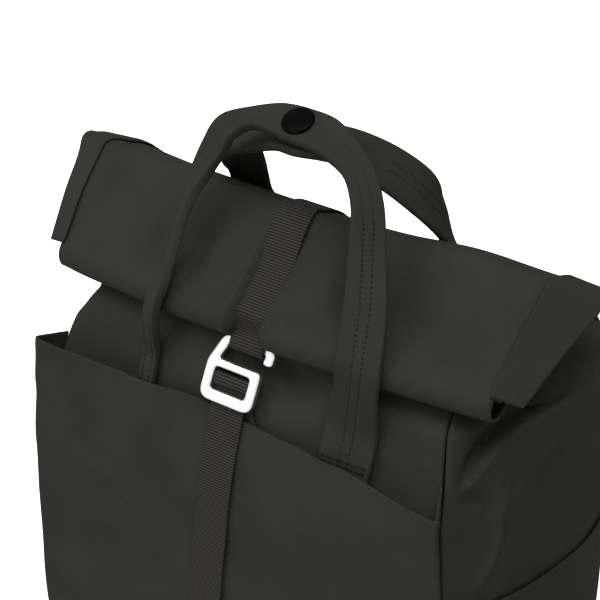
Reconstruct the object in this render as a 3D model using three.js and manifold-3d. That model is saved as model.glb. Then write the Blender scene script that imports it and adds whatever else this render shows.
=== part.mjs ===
// Roll-top backpack: hollow cloth body, neck rolled forward, pockets, two snapped handles, webbing and hook.
// Millimetres, +Z up, front towards -Y, +X to the right seen from the front.
// Origin: on the base's underside, in the bag's middle plane.
import * as THREE from 'three';
import Module from 'manifold-3d';

const wasm = await Module();
wasm.setup();

// Cloth, webbing and the small gap kept between pieces
const clothThick = 2;
const pocketThick = 1.8;
const rollThick = 2.4;
const stripThick = 1.8;
const webWidth = 25;
const webThick = 1.6;
const seat = 0.35;
const seamTrim = 0.22;

// Base plate under the walls
const baseThick = 2.5;
const wallFoot = baseThick + 0.3;

// Front panel, a row for each height: half width to the left and right corner seams, y at the seams, bow
// forward at the middle
const frontRows = [
  { z: wallFoot, left: 146, right: 146, front: -76, bow: 3 },
  { z: 9, left: 152, right: 152, front: -82, bow: 4 },
  { z: 24, left: 155, right: 155, front: -86, bow: 5 },
  { z: 130, left: 156, right: 156, front: -87, bow: 6 },
  { z: 235, left: 155.5, right: 155.5, front: -88.5, bow: 4 },
  { z: 280, left: 150.5, right: 148.5, front: -81, bow: 3.5 },
  { z: 304, left: 150, right: 142.5, front: -69, bow: 8 },
  { z: 320, left: 147.5, right: 139, front: -63, bow: 9.5 },
  { z: 335, left: 139, right: 136.5, front: -58, bow: 8.5 },
  { z: 350, left: 130.5, right: 132.5, front: -40, bow: 17.5 },
  { z: 357, left: 135, right: 136, front: -32, bow: 19 },
  { z: 372, left: 142, right: 143, front: -17, bow: 20 },
  { z: 390, left: 148, right: 148, front: 1, bow: 20 },
  { z: 407, left: 153, right: 153, front: 13, bow: 16.5 },
];

// Back panel: half width at its seams, y at the seams, swell behind at the middle
const backRows = [
  { z: wallFoot, half: 146, back: 110, swell: 1 },
  { z: 9, half: 152, back: 118, swell: 1 },
  { z: 24, half: 156, back: 122, swell: 2 },
  { z: 130, half: 158, back: 126, swell: 3 },
  { z: 235, half: 158, back: 126, swell: 2 },
  { z: 280, half: 158, back: 124, swell: 1 },
  { z: 304, half: 157, back: 120, swell: 0 },
  { z: 335, half: 155, back: 107, swell: -4 },
  { z: 357, half: 153, back: 89, swell: -9 },
  { z: 372, half: 152, back: 66, swell: -11 },
  { z: 390, half: 151, back: 40, swell: -14 },
  { z: 407, half: 153, back: 19, swell: -12.5 },
];

// Sides: how far each folds out, roundness of that fold (1 is a sharp fold), depth of the valley behind the
// front seam
const gussetRows = [
  { z: wallFoot, fold: 3, round: 2.6, valley: 0 },
  { z: 9, fold: 6, round: 2.6, valley: 0 },
  { z: 24, fold: 10, round: 2.6, valley: 0 },
  { z: 130, fold: 16, round: 2.4, valley: 0 },
  { z: 235, fold: 16, round: 2.2, valley: 0 },
  { z: 280, fold: 19, round: 1.9, valley: 1 },
  { z: 304, fold: 24, round: 1.7, valley: 3 },
  { z: 335, fold: 33, round: 1.4, valley: 8 },
  { z: 350, fold: 23, round: 1.3, valley: 8 },
  { z: 364, fold: 22, round: 1.25, valley: 6 },
  { z: 390, fold: 25, round: 1.15, valley: 2 },
  { z: 407, fold: 20, round: 1.1, valley: 0 },
];
const frontCells = 14;
const gussetCells = 10;
const backCells = 10;
const bodyHeights = [
  wallFoot, 9, 24, 75, 130, 185, 235, 260, 282, 304, 320, 335, 350, 357, 364, 380, 394, 407,
];
const valleyAt = 0.22;
const valleySpread = 0.13;

// Front pocket, a row for each height: gap between the pocket and the body at its left and right corners
// (out to the side and forward), at the quarters of the width and at the middle
const pocketFoot = 16;
const pocketRows = [
  { z: 16, leftOut: 2.5, leftGap: 0.8, rightOut: 1.5, rightGap: 0.8, quarter: 0.8, middle: 0.8 },
  { z: 60, leftOut: 6, leftGap: 4.5, rightOut: 1.5, rightGap: 1.5, quarter: 7.5, middle: 10.5 },
  { z: 120, leftOut: 6, leftGap: 7, rightOut: 1.5, rightGap: 2, quarter: 12, middle: 14.5 },
  { z: 188, leftOut: 5, leftGap: 5.2, rightOut: 1.5, rightGap: 2, quarter: 11.2, middle: 10.2 },
  { z: 229, leftOut: 4.5, leftGap: 4, rightOut: 2, rightGap: 2.5, quarter: 9, middle: 4 },
  { z: 269, leftOut: 7, leftGap: 8, rightOut: 4, rightGap: 7, quarter: 12, middle: 3 },
  { z: 313, leftOut: 10, leftGap: 20, rightOut: 12, rightGap: 25, quarter: 16, middle: 3 },
];
const pocketShares = [0, 0.07, 0.17, 0.33, 0.5, 0.66, 0.79, 0.89, 0.96, 1];
const pocketColumns = [0, 0.13, 0.24, 0.36, 0.5, 0.65, 0.8, 0.92, 1];
// Height of the mouth from the middle (share 0) to the corners (share 1); the right half hangs lower and
// gapes wider than the left half
const mouthRows = [
  { share: 0, left: 311, right: 311 },
  { share: 0.15, left: 310.7, right: 309.5 },
  { share: 0.3, left: 310.8, right: 307 },
  { share: 0.5, left: 311.5, right: 304.5 },
  { share: 0.75, left: 312, right: 303.3 },
  { share: 1, left: 312.5, right: 299.5 },
];
const mouthGape = 3;
// Where the pocket's turned back edges are sewn: how far out and back from the corner seam, up to which
// height, and the share of the side that they wrap above the side pocket
const pocketEdge = {
  left: { out: 3.4, back: 2.5, top: 306, wrap: 0.045 },
  right: { out: 1.2, back: -1.5, top: 309.5, wrap: 0 },
};

// Side pockets, a row for each height: gap at the middle of the pocket's width
const sideFoot = 16;
const sideMouth = { front: 241, back: 206 };
const sideRows = [
  { share: 0, gap: 0.3 },
  { share: 0.3, gap: 5 },
  { share: 0.65, gap: 9 },
  { share: 1, gap: 13 },
];
const sideShares = [0, 0.12, 0.34, 0.6, 0.82, 1];
const sideColumns = [0.03, 0.1, 0.22, 0.36, 0.5, 0.64, 0.78, 0.9, 0.97];

// Roll: folds of the flattened neck on the slope of the front. "along" runs up the slope from the centre of
// the lower fold, "out" stands off the slope
const slopeFoot = { y: -58, z: 368 };
const slopeUp = { y: 0.717, z: 0.697 };
const ridgeAlong = 66.9;
const ridgeFold = 8;
const lowerFold = 10;
const innerFold = 4.2;
const innerAlong = 57;
const innerEnd = 38;
// Half width of the roll at its ridge and in its lower fold
const rollHalf = { left: { ridge: 172.5, low: 160.5 }, right: { ridge: 164.5, low: 160.5 } };
// The roll bows back and down towards its seams, then turns further back at its ends
const rollBow = { back: 17.9, down: 6.3, seam: 159, tilt: 1.5 };
const rollTurn = { left: { back: 0.1, down: 0.14 }, right: { back: 0.85, down: 0.62 } };
// Its ridge stands higher beside the right handle leg
const rollRise = { x: 112, reach: 34, height: 4.5 };
// Its lower fold sags and swells where no strap holds it; the strap and the handle legs dent it, the legs not
// down to the fold
const rollSag = { drop: 4, swell: 2.5 };
const rollDents = [
  { x: 0, flat: 15, fade: 28, depth: 6, hold: 1, atFold: 1 },
  { x: -68, flat: 13, fade: 30, depth: 4, hold: 0, atFold: 0 },
  { x: 80, flat: 22, fade: 41, depth: 4, hold: 0, atFold: 0 },
];
const rollColumns = [-159, -140, -98, -81, -55, -38, -28, -15, 15, 28, 39, 58, 102, 121, 140, 159];

// Flattened strips over the ends of the roll
const stripRows = [
  { share: 0, leftInner: 171, leftWidth: 18, rightInner: 162.5, rightWidth: 24 },
  { share: 0.35, leftInner: 170, leftWidth: 18, rightInner: 162, rightWidth: 25.5 },
  { share: 0.6, leftInner: 166, leftWidth: 15, rightInner: 161.3, rightWidth: 22 },
  { share: 1, leftInner: 160, leftWidth: 9, rightInner: 160, rightWidth: 14.5 },
];
const stripLast = 9;

// Handles: a folded strip swept along each row's centre; the face columns give the way that its face looks
const handleThick = 5;
const gripThick = 7;
const leg = { spread: 79, wide: 36, thick: handleThick };
const rearLeg = { spread: 74, wide: 36, thick: handleThick };
const foldedLeg = { spread: 70.3, wide: 12.5, thick: 6 };
const frontHandleRight = [
  { x: 81.1, y: -72.5, z: 354.2, faceX: 0.1, faceY: -0.93, faceZ: 0.3, wide: 36, thick: handleThick },
  { x: 81.6, y: -73, z: 373.2, faceX: 0.18, faceY: -0.93, faceZ: 0.3, wide: 36, thick: handleThick },
  { x: 79, y: -61.5, z: 404.5, faceX: 0.35, faceY: -0.85, faceZ: 0.35, wide: 34, thick: handleThick },
  { x: 72.5, y: -48, z: 433, faceX: 0.55, faceY: -0.72, faceZ: 0.42, wide: 29, thick: 5.5 },
  { x: 67, y: -41, z: 459, faceX: 0.66, faceY: -0.58, faceZ: 0.5, wide: 24, thick: 6.5 },
  { x: 56, y: -35, z: 474, faceX: 0.5, faceY: -0.54, faceZ: 0.7, wide: 23, thick: gripThick },
  { x: 36, y: -24, z: 479.5, faceX: 0.2, faceY: -0.5, faceZ: 0.85, wide: 25, thick: gripThick },
  { x: 15, y: -12.6, z: 478, faceX: 0.02, faceY: -0.45, faceZ: 0.9, wide: 28, thick: gripThick },
];
const frontGrip = { x: 0, y: -11.2, z: 478, faceX: 0, faceY: -0.43, faceZ: 0.9, wide: 26, thick: gripThick };
// The left leg is folded double along its middle
const frontHandleLeft = [
  { x: -15, y: -12, z: 478.3, faceX: -0.02, faceY: -0.45, faceZ: 0.9, wide: 23, thick: gripThick },
  { x: -31, y: -18, z: 477, faceX: -0.1, faceY: -0.5, faceZ: 0.86, wide: 15, thick: gripThick },
  { x: -41.5, y: -28, z: 472, faceX: -0.2, faceY: -0.65, faceZ: 0.72, wide: 20, thick: gripThick },
  { x: -46.5, y: -33.5, z: 460.5, faceX: -0.1, faceY: -0.8, faceZ: 0.5, wide: 18, thick: gripThick },
  { x: -51.5, y: -36.5, z: 449.5, faceX: -0.3, faceY: -0.82, faceZ: 0.4, wide: 17, thick: gripThick },
  { x: -57.5, y: -42, z: 433, faceX: -0.65, faceY: -0.68, faceZ: 0.2, wide: 16.5, thick: 6.5 },
  { x: -60.5, y: -48, z: 417, faceX: -0.79, faceY: -0.6, faceZ: 0.14, wide: 16, thick: 6.5 },
  { x: -61.8, y: -59, z: 395.5, faceX: -0.78, faceY: -0.6, faceZ: 0.16, wide: 14.5, thick: 6.5 },
  { x: -61, y: -71, z: 379.7, faceX: -0.6, faceY: -0.76, faceZ: 0.24, wide: 12.5, thick: 6.5 },
  { x: -64, y: -76, z: 367.7, faceX: -0.4, faceY: -0.87, faceZ: 0.28, wide: 11.5, thick: 6.5 },
  { x: -66.6, y: -77.5, z: 350.2, faceX: -0.2, faceY: -0.93, faceZ: 0.3, wide: 12, thick: 6.5 },
];
const frontFeet = [284, 296, 310, 325];
const rearHandleRight = [
  { x: 74.5, y: 49, z: 391, faceX: 0.55, faceY: 0.72, faceZ: 0.45, wide: 34, thick: handleThick },
  { x: 71, y: 45, z: 405, faceX: 0.78, faceY: 0.5, faceZ: 0.36, wide: 34, thick: handleThick },
  { x: 69, y: 35.5, z: 421, faceX: 0.8, faceY: 0.22, faceZ: 0.5, wide: 34, thick: handleThick },
  { x: 62, y: 28.5, z: 435, faceX: 0.76, faceY: -0.1, faceZ: 0.6, wide: 34, thick: handleThick },
  { x: 47, y: 19, z: 449.5, faceX: 0.55, faceY: -0.25, faceZ: 0.8, wide: 33, thick: 5.5 },
  { x: 28, y: 7, z: 462.5, faceX: 0.25, faceY: -0.34, faceZ: 0.9, wide: 29, thick: 6.5 },
  { x: 13, y: -3, z: 468, faceX: 0.05, faceY: -0.4, faceZ: 0.92, wide: 28, thick: gripThick },
];
const rearGrip = { x: 0, y: -6.6, z: 468.3, faceX: 0, faceY: -0.43, faceZ: 0.9, wide: 28, thick: gripThick };
const rearHandleLeft = [
  { x: -14, y: -5, z: 466.5, faceX: -0.1, faceY: -0.38, faceZ: 0.92, wide: 27, thick: gripThick },
  { x: -36.5, y: 0, z: 456.3, faceX: -0.35, faceY: -0.3, faceZ: 0.88, wide: 27, thick: 6.5 },
  { x: -58, y: 5, z: 446, faceX: -0.7, faceY: -0.25, faceZ: 0.67, wide: 27, thick: 6 },
  { x: -63.5, y: 15, z: 431, faceX: -0.75, faceY: 0.55, faceZ: 0.4, wide: 27, thick: 5.5 },
  { x: -67.3, y: 27, z: 412.4, faceX: -0.25, faceY: 0.93, faceZ: 0.2, wide: 28, thick: handleThick },
  { x: -71.5, y: 39.5, z: 392.4, faceX: -0.12, faceY: 0.9, faceZ: 0.35, wide: 29, thick: handleThick },
];
const rearFeet = [340, 349, 359, 370];

// Press stud that holds the two grips together
const capRadius = 10.2;
const capHeight = 3;
const studRadius = 6.5;

// Hook buckle, in its own plane: "u" to the right, "v" up the plate, "w" out of its face; origin at the
// middle of the slot
const hookAt = { x: -5, y: -77, z: 329.5 };
const hookUp = { y: 0.469, z: 0.883 };
const hookThick = 5;
const hookBevel = 0.7;
const frameHalf = 19.8;
const frameLow = -14.5;
const frameHigh = 12.2;
const frameRound = 6;
const slotHalf = 12.95;
const slotHigh = 7;
const crossBarHalf = 1.5;
const crossBarBack = 1.9;
const topBarLow = 23;
const topBarHigh = 28.6;
const armInner = { low: -11.4, high: -9 };
const armOuter = { low: -18.6, high: -15 };
const tipOuter = 25;
const tipInner = 18.2;
const tipLow = 17.5;

// Tail strap in the hook's plane: from the slot's upper gap, over the cross bar and behind the lower bar
const tailOverBar = [
  { v: -10, w: -6.6 },
  { v: -4, w: -5.9 },
  { v: 1, w: -4.9 },
  { v: 3.5, w: -2.9 },
  { v: 3.4, w: -0.7 },
  { v: 1.6, w: 0.6 },
  { v: -0.2, w: 0.8 },
  { v: -2, w: 0.4 },
  { v: -3.5, w: -1.1 },
  { v: -4.6, w: -2.9 },
  { v: -8.5, w: -3.8 },
  { v: -16, w: -4 },
];
const tailAnchorZ = [276, 290, 304];
const tailEndZ = 96;
const tailSway = -2;

// Closure strap: where it is sewn to the back, and how far its loop's end runs up behind the hook's top bar
const strapBackZ = [352, 368, 384];
const strapLoop = [
  { v: 33, w: 2.6 },
  { v: 28, w: 4.1 },
  { v: 24.2, w: 4.1 },
  { v: 21.7, w: 2.7 },
  { v: 20.9, w: 0 },
  { v: 21.7, w: -2.7 },
  { v: 24.2, w: -4.1 },
  { v: 27.4, w: -4.3 },
  { v: 30.5, w: -3.6 },
];

// Shoulder straps: padded strip from the upper back to the webbing that comes up from the lower corner
const padRows = [
  { x: 52, y: 139, z: 300, faceX: 0, faceY: -0.62, faceZ: 0.78, wide: 63, thick: 10 },
  { x: 55, y: 150, z: 308, faceX: 0, faceY: 0.1, faceZ: 0.99, wide: 64, thick: 11 },
  { x: 60, y: 164, z: 302, faceX: 0.03, faceY: 0.7, faceZ: 0.7, wide: 64, thick: 11 },
  { x: 68, y: 178, z: 272, faceX: 0.08, faceY: 0.97, faceZ: 0.2, wide: 63, thick: 11 },
  { x: 78, y: 185, z: 232, faceX: 0.1, faceY: 0.99, faceZ: 0, wide: 58, thick: 11 },
  { x: 90, y: 181, z: 190, faceX: 0.1, faceY: 0.98, faceZ: -0.16, wide: 52, thick: 10 },
  { x: 100, y: 169, z: 152, faceX: 0.1, faceY: 0.96, faceZ: -0.26, wide: 44, thick: 9 },
  { x: 106, y: 157, z: 120, faceX: 0.1, faceY: 0.95, faceZ: -0.3, wide: 36, thick: 8 },
];
const padFoot = { x: 50, low: 265, high: 285, wide: 60, thick: 8 };
const webbingRows = [
  { x: 104, y: 149.5, z: 142 },
  { x: 107, y: 147.5, z: 118 },
  { x: 119, y: 140, z: 84 },
  { x: 130, y: 133, z: 54 },
];
const webbingFoot = { x: 136, low: 26, high: 38 };

const materials = {
  cloth: new THREE.MeshStandardMaterial({ color: 0x3d3e38, roughness: 0.8 }),
  webbing: new THREE.MeshStandardMaterial({ color: 0x454441, roughness: 0.85 }),
  metal: new THREE.MeshStandardMaterial({ color: 0xb9bbbd, roughness: 0.35, metalness: 1 }),
  stud: new THREE.MeshStandardMaterial({ color: 0x101012, roughness: 0.3 }),
};

const part = new THREE.Group();
part.name = 'roll_top_backpack';

const vec = (x, y, z) => new THREE.Vector3(x, y, z);
const mix = (a, b, t) => a + (b - a) * t;
const ease = (t) => {
  const c = Math.min(1, Math.max(0, t));
  return c * c * (3 - 2 * c);
};

// Smooth curve through one column of a table, without overshoot between its rows
function through(rows, key, column) {
  const xs = rows.map((row) => row[key]);
  const ys = rows.map((row) => row[column]);
  const steps = xs.slice(1).map((x, i) => (ys[i + 1] - ys[i]) / (x - xs[i]));
  const slopes = xs.map((x, i) => {
    if (i === 0) return steps[0];
    if (i === xs.length - 1) return steps[i - 1];
    const product = steps[i - 1] * steps[i];
    return product <= 0 ? 0 : (2 * product) / (steps[i - 1] + steps[i]);
  });
  return (x) => {
    const at = Math.min(xs[xs.length - 1], Math.max(xs[0], x));
    let i = 0;
    while (i < xs.length - 2 && at > xs[i + 1]) i += 1;
    const span = xs[i + 1] - xs[i];
    const t = (at - xs[i]) / span;
    const rise = ys[i + 1] - ys[i];
    const a = slopes[i] * span - rise;
    const b = rise - slopes[i + 1] * span;
    return mix(ys[i], ys[i + 1], t) + t * (1 - t) * (a * (1 - t) + b * t);
  };
}

function columnsOf(rows, key) {
  const curves = {};
  for (const column of Object.keys(rows[0])) {
    if (column !== key) curves[column] = through(rows, key, column);
  }
  return curves;
}

function addMesh(name, geometry, material) {
  const mesh = new THREE.Mesh(geometry, material);
  mesh.name = name;
  part.add(mesh);
}

// Closed solid from points and triangles; the triangles are turned round if they face inwards
function addSolid(name, points, triangles, material) {
  let volume = 0;
  for (const [a, b, c] of triangles) {
    volume += points[a].dot(vec(0, 0, 0).crossVectors(points[b], points[c]));
  }
  const index = triangles.flatMap(([a, b, c]) => (volume > 0 ? [a, b, c] : [a, c, b]));
  const geometry = new THREE.BufferGeometry();
  geometry.setFromPoints(points);
  geometry.setIndex(index);
  geometry.computeVertexNormals();
  addMesh(name, geometry, material);
}

// Cloth sheet: an outer and an inner grid of points, joined round the edge
function addSheet(name, outer, inner, material) {
  const rows = outer.length;
  const cols = outer[0].length;
  const points = [...outer.flat(), ...inner.flat()];
  const id = (side, r, c) => side * rows * cols + r * cols + c;
  const triangles = [];
  const quad = (a, b, c, d) => triangles.push([a, b, c], [a, c, d]);
  for (let r = 0; r < rows - 1; r += 1) {
    for (let c = 0; c < cols - 1; c += 1) {
      quad(id(0, r, c), id(0, r, c + 1), id(0, r + 1, c + 1), id(0, r + 1, c));
      quad(id(1, r, c), id(1, r + 1, c), id(1, r + 1, c + 1), id(1, r, c + 1));
    }
  }
  for (let c = 0; c < cols - 1; c += 1) {
    quad(id(0, 0, c), id(1, 0, c), id(1, 0, c + 1), id(0, 0, c + 1));
    quad(id(0, rows - 1, c), id(0, rows - 1, c + 1), id(1, rows - 1, c + 1), id(1, rows - 1, c));
  }
  for (let r = 0; r < rows - 1; r += 1) {
    quad(id(0, r, 0), id(0, r + 1, 0), id(1, r + 1, 0), id(1, r, 0));
    quad(id(0, r, cols - 1), id(1, r, cols - 1), id(1, r + 1, cols - 1), id(0, r + 1, cols - 1));
  }
  addSolid(name, points, triangles, material);
}

// The grid moved along its own normals; "ring" joins its last column to its first
function offsetGrid(grid, distance, ring) {
  const rows = grid.length;
  const cols = grid[0].length;
  const near = (c) => (ring ? (c + cols) % cols : Math.min(cols - 1, Math.max(0, c)));
  return grid.map((row, r) => row.map((point, c) => {
    const across = row[near(c + 1)].clone().sub(row[near(c - 1)]);
    const up = grid[Math.min(rows - 1, r + 1)][c].clone().sub(grid[Math.max(0, r - 1)][c]);
    return point.clone().addScaledVector(across.cross(up).normalize(), distance);
  }));
}

// Strip swept along stations that hold a centre, the direction across it and the direction its face looks in
function addSweep(name, stations, profile, material) {
  const points = [];
  for (const station of stations) {
    for (const [a, f] of profile) {
      const spread = station.across.clone().multiplyScalar(a * station.wide / 2);
      points.push(station.at.clone().add(spread).addScaledVector(station.face, f * station.thick / 2));
    }
  }
  const n = profile.length;
  const triangles = [];
  for (let s = 0; s < stations.length - 1; s += 1) {
    for (let k = 0; k < n; k += 1) {
      const a = s * n + k;
      const b = s * n + (k + 1) % n;
      triangles.push([a, b, b + n], [a, b + n, a + n]);
    }
  }
  const last = (stations.length - 1) * n;
  for (let k = 1; k < n - 1; k += 1) {
    triangles.push([0, k + 1, k], [last, last + k, last + k + 1]);
  }
  addSolid(name, points, triangles, material);
}

const flatProfile = [[-1, -1], [1, -1], [1, 1], [-1, 1]];
const softProfile = [[-1, -0.4], [-0.86, -1], [0, -1], [0.86, -1], [1, -0.4],
  [1, 0.4], [0.86, 1], [0, 1], [-0.86, 1], [-1, 0.4]];

// Smooth stations through a table's rows, with the face kept square to the path
function stationsThrough(rows, steps) {
  const centres = new THREE.CatmullRomCurve3(rows.map((row) => vec(row.x, row.y, row.z)));
  const faces = new THREE.CatmullRomCurve3(rows.map((row) => vec(row.faceX, row.faceY, row.faceZ)));
  const sizes = new THREE.CatmullRomCurve3(rows.map((row) => vec(row.wide, row.thick, 0)));
  const stations = [];
  for (let i = 0; i <= steps; i += 1) {
    const t = i / steps;
    const tangent = centres.getTangent(t);
    const face = faces.getPoint(t);
    face.addScaledVector(tangent, -face.dot(tangent)).normalize();
    const size = sizes.getPoint(t);
    const across = tangent.clone().cross(face);
    stations.push({ at: centres.getPoint(t), across, face, wide: size.x, thick: size.y });
  }
  return stations;
}

// Webbing along a path in the middle plane of the bag; "sway" moves it sideways on the way
function addWebbing(name, path, steps, sway) {
  const curve = new THREE.CatmullRomCurve3(path.map(([y, z]) => vec(0, y, z)), false, 'centripetal');
  const stations = [];
  for (let i = 0; i <= steps; i += 1) {
    const at = curve.getPoint(i / steps);
    const tangent = curve.getTangent(i / steps);
    at.x = sway(at, i / steps);
    const face = vec(0, -tangent.z, tangent.y).normalize();
    stations.push({ at, across: vec(1, 0, 0), face, wide: webWidth, thick: webThick });
  }
  addSweep(name, stations, flatProfile, materials.webbing);
}

// Body walls: one closed ring of points at each height, cut into panels at the corner seams
const front = columnsOf(frontRows, 'z');
const back = columnsOf(backRows, 'z');
const gusset = columnsOf(gussetRows, 'z');
const frontHalf = (side, z) => (side < 0 ? front.left(z) : front.right(z));

function onFront(share, z) {
  const y = front.front(z) - front.bow(z) * (1 - share * share);
  return vec(share * frontHalf(share, z), y, z);
}

function onBack(share, z) {
  const y = back.back(z) + back.swell(z) * (1 - share * share);
  return vec(share * back.half(z), y, z);
}

function onGusset(side, share, z) {
  const fold = 1 - Math.abs(2 * share - 1) ** gusset.round(z);
  const valley = Math.exp(-(((share - valleyAt) / valleySpread) ** 2)) * Math.sin(Math.PI * share);
  const half = mix(frontHalf(side, z), back.half(z), share);
  const x = half + gusset.fold(z) * fold - gusset.valley(z) * valley;
  return vec(side * x, mix(front.front(z), back.back(z), share), z);
}

const wallOuter = bodyHeights.map((z) => {
  const ring = [];
  for (let i = 0; i < frontCells; i += 1) ring.push(onFront(-1 + 2 * i / frontCells, z));
  for (let i = 0; i < gussetCells; i += 1) ring.push(onGusset(1, i / gussetCells, z));
  for (let i = 0; i < backCells; i += 1) ring.push(onBack(1 - 2 * i / backCells, z));
  for (let i = 0; i < gussetCells; i += 1) ring.push(onGusset(-1, 1 - i / gussetCells, z));
  return ring;
});
const wallInner = offsetGrid(wallOuter, -clothThick, true);

function wallColumns(grid, first, cells) {
  return grid.map((ring) => {
    const columns = [];
    for (let i = 0; i <= cells; i += 1) columns.push(ring[(first + i) % ring.length].clone());
    const pull = (end, next) => end.addScaledVector(next.clone().sub(end).normalize(), seamTrim);
    pull(columns[0], columns[1]);
    pull(columns[cells], columns[cells - 1]);
    return columns;
  });
}

function addWall(name, first, cells) {
  const outer = wallColumns(wallOuter, first, cells);
  const inner = wallColumns(wallInner, first, cells);
  addSheet(name, outer, inner, materials.cloth);
}

addWall('front_panel', 0, frontCells);
addWall('gusset_right', frontCells, gussetCells);
addWall('back_panel', frontCells + gussetCells, backCells);
addWall('gusset_left', frontCells + gussetCells + backCells, gussetCells);

const baseOutline = new THREE.Shape(wallOuter[0].map((point) => new THREE.Vector2(point.x, point.y)));
const basePlate = new THREE.ExtrudeGeometry(baseOutline, { depth: baseThick, bevelEnabled: false });
addMesh('base_panel', basePlate, materials.cloth);

// Front pocket: stands off the front panel by the gaps of its table, and turns back to the corner seams
const pocket = columnsOf(pocketRows, 'z');
const mouth = columnsOf(mouthRows, 'share');

function onPocket(side, share, rise) {
  const label = side < 0 ? 'left' : 'right';
  const z = mix(pocketFoot, mouth[label](share), rise);
  const panel = onFront(side * share, z);
  const inward = ease((share - 0.13) / 0.37);
  const outward = ease((share - 0.5) / 0.5);
  const gap = mix(mix(pocket.middle(z), pocket.quarter(z), inward), pocket[label + 'Gap'](z), outward);
  const skew = side * mouthGape * inward * (1 - outward) * ease((z - 200) / 100);
  const x = panel.x + side * pocket[label + 'Out'](z) * share;
  return vec(x, panel.y - gap - skew - pocketThick, z);
}

function pocketSeam(side, rise) {
  const edge = side < 0 ? pocketEdge.left : pocketEdge.right;
  const z = mix(pocketFoot, edge.top, rise);
  const at = onGusset(side, edge.wrap * ease((z - sideMouth.front) / 40), z);
  return at.add(vec(side * edge.out, edge.back, 0));
}

const pocketOuter = pocketShares.map((rise) => [
  pocketSeam(-1, rise),
  ...pocketColumns.slice(1).reverse().map((share) => onPocket(-1, share, rise)),
  ...pocketColumns.map((share) => onPocket(1, share, rise)),
  pocketSeam(1, rise),
]);
addSheet('front_pocket', pocketOuter, offsetGrid(pocketOuter, -pocketThick, false), materials.cloth);

// Side pockets
const sideGap = through(sideRows, 'share', 'gap');
for (const [name, side] of [['side_pocket_right', 1], ['side_pocket_left', -1]]) {
  const outer = sideShares.map((rise) => sideColumns.map((share) => {
    const z = mix(sideFoot, mix(sideMouth.front, sideMouth.back, share), rise);
    const point = onGusset(side, share, z);
    const swell = Math.sin(Math.PI * share) ** 0.8;
    point.x += side * (1.2 + pocketThick + sideGap(rise) * swell);
    return point;
  }));
  addSheet(name, outer, offsetGrid(outer, -side * pocketThick, false), materials.cloth);
}

// Roll: the middle of its cloth layer as a path on the slope
const slopeOut = { y: -slopeUp.z, z: slopeUp.y };

function arc(along, out, radius, fromDeg, toDeg, steps) {
  const turn = [];
  for (let i = 0; i <= steps; i += 1) {
    const angle = THREE.MathUtils.degToRad(mix(fromDeg, toDeg, i / steps));
    turn.push({ along: along + radius * Math.cos(angle), out: out + radius * Math.sin(angle) });
  }
  return turn;
}

function between(a, b, steps) {
  const line = [];
  for (let i = 1; i < steps; i += 1) {
    line.push({ along: mix(a.along, b.along, i / steps), out: mix(a.out, b.out, i / steps) });
  }
  return line;
}

const rollMid = rollThick / 2;
const ridgeArc = arc(ridgeAlong, 0, ridgeFold - rollMid, 0, 90, 3);
const lowerArc = arc(0, 0, lowerFold - rollMid, 90, 270, 7);
const innerArc = arc(innerAlong, -ridgeFold + rollMid + innerFold - rollMid, innerFold - rollMid, -90, 90, 4);
const rollBackEnd = { along: 81.5, out: -34 };
const rollBackBend = { along: 80, out: -16 };
const rollPath = [
  rollBackEnd,
  rollBackBend,
  ...ridgeArc,
  ...between(ridgeArc[ridgeArc.length - 1], lowerArc[0], 4),
  ...lowerArc,
  ...between(lowerArc[lowerArc.length - 1], innerArc[0], 3),
  ...innerArc,
  { along: innerEnd, out: innerArc[innerArc.length - 1].out },
];
const outerLayerEnd = 14;

function pathNormal(path, i) {
  const a = path[Math.max(0, i - 1)];
  const b = path[Math.min(path.length - 1, i + 1)];
  const length = Math.hypot(b.along - a.along, b.out - a.out);
  return { along: -(b.out - a.out) / length, out: (b.along - a.along) / length };
}

function pressAt(x, along) {
  const press = { depth: 0, share: 0, hold: 0 };
  for (const dent of rollDents) {
    const near = 1 - ease((Math.abs(x - dent.x) - dent.flat) / (dent.fade - dent.flat));
    const share = near * mix(dent.atFold, 1, ease((along - 4) / 26));
    press.depth = Math.max(press.depth, dent.depth * share);
    press.share = Math.max(press.share, share);
    press.hold = Math.max(press.hold, dent.hold * near);
  }
  return press;
}

// A point of the roll: station on the path, lift off the middle of the layer, distance from the middle plane
function onRoll(i, lift, x) {
  const point = rollPath[i];
  const normal = pathNormal(rollPath, i);
  const press = pressAt(x, point.along);
  const onFace = i <= outerLayerEnd && point.along < 62;
  const soft = onFace ? ease((62 - point.along) / 34) * ease((point.out + 9) / 12) : 0;
  const off = (press.depth - rollSag.swell * (1 - press.share)) * soft - lift;
  const drop = rollSag.drop * (1 - press.hold) * ease((45 - point.along) / 45);
  const along = point.along + normal.along * off - drop;
  const out = point.out + normal.out * off;
  const bow = Math.min(1, (x / rollBow.seam) ** 2);
  const turn = x < 0 ? rollTurn.left : rollTurn.right;
  const past = Math.max(0, Math.abs(x) - rollBow.seam);
  const y = slopeFoot.y + slopeUp.y * along + slopeOut.y * out + rollBow.back * bow + turn.back * past;
  const z = slopeFoot.z + slopeUp.z * along + slopeOut.z * out - rollBow.down * bow - turn.down * past;
  const rise = rollRise.height * Math.exp(-(((x - rollRise.x) / rollRise.reach) ** 2)) * ease(along / 60);
  return vec(x, y, z + rise + rollBow.tilt * x / rollBow.seam);
}

function rollRow(i, lift) {
  const wide = i <= outerLayerEnd ? ease(rollPath[i].along / 50) : 0;
  const ends = [rollHalf.left, rollHalf.right].map((half) => mix(half.low, half.ridge, wide));
  return [-ends[0], ...rollColumns, ends[1]].map((x) => onRoll(i, lift, x));
}

const rollGrid = (lift) => rollPath.map((point, i) => rollRow(i, lift));
addSheet('roll_top', rollGrid(rollMid), rollGrid(-rollMid), materials.cloth);

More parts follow.
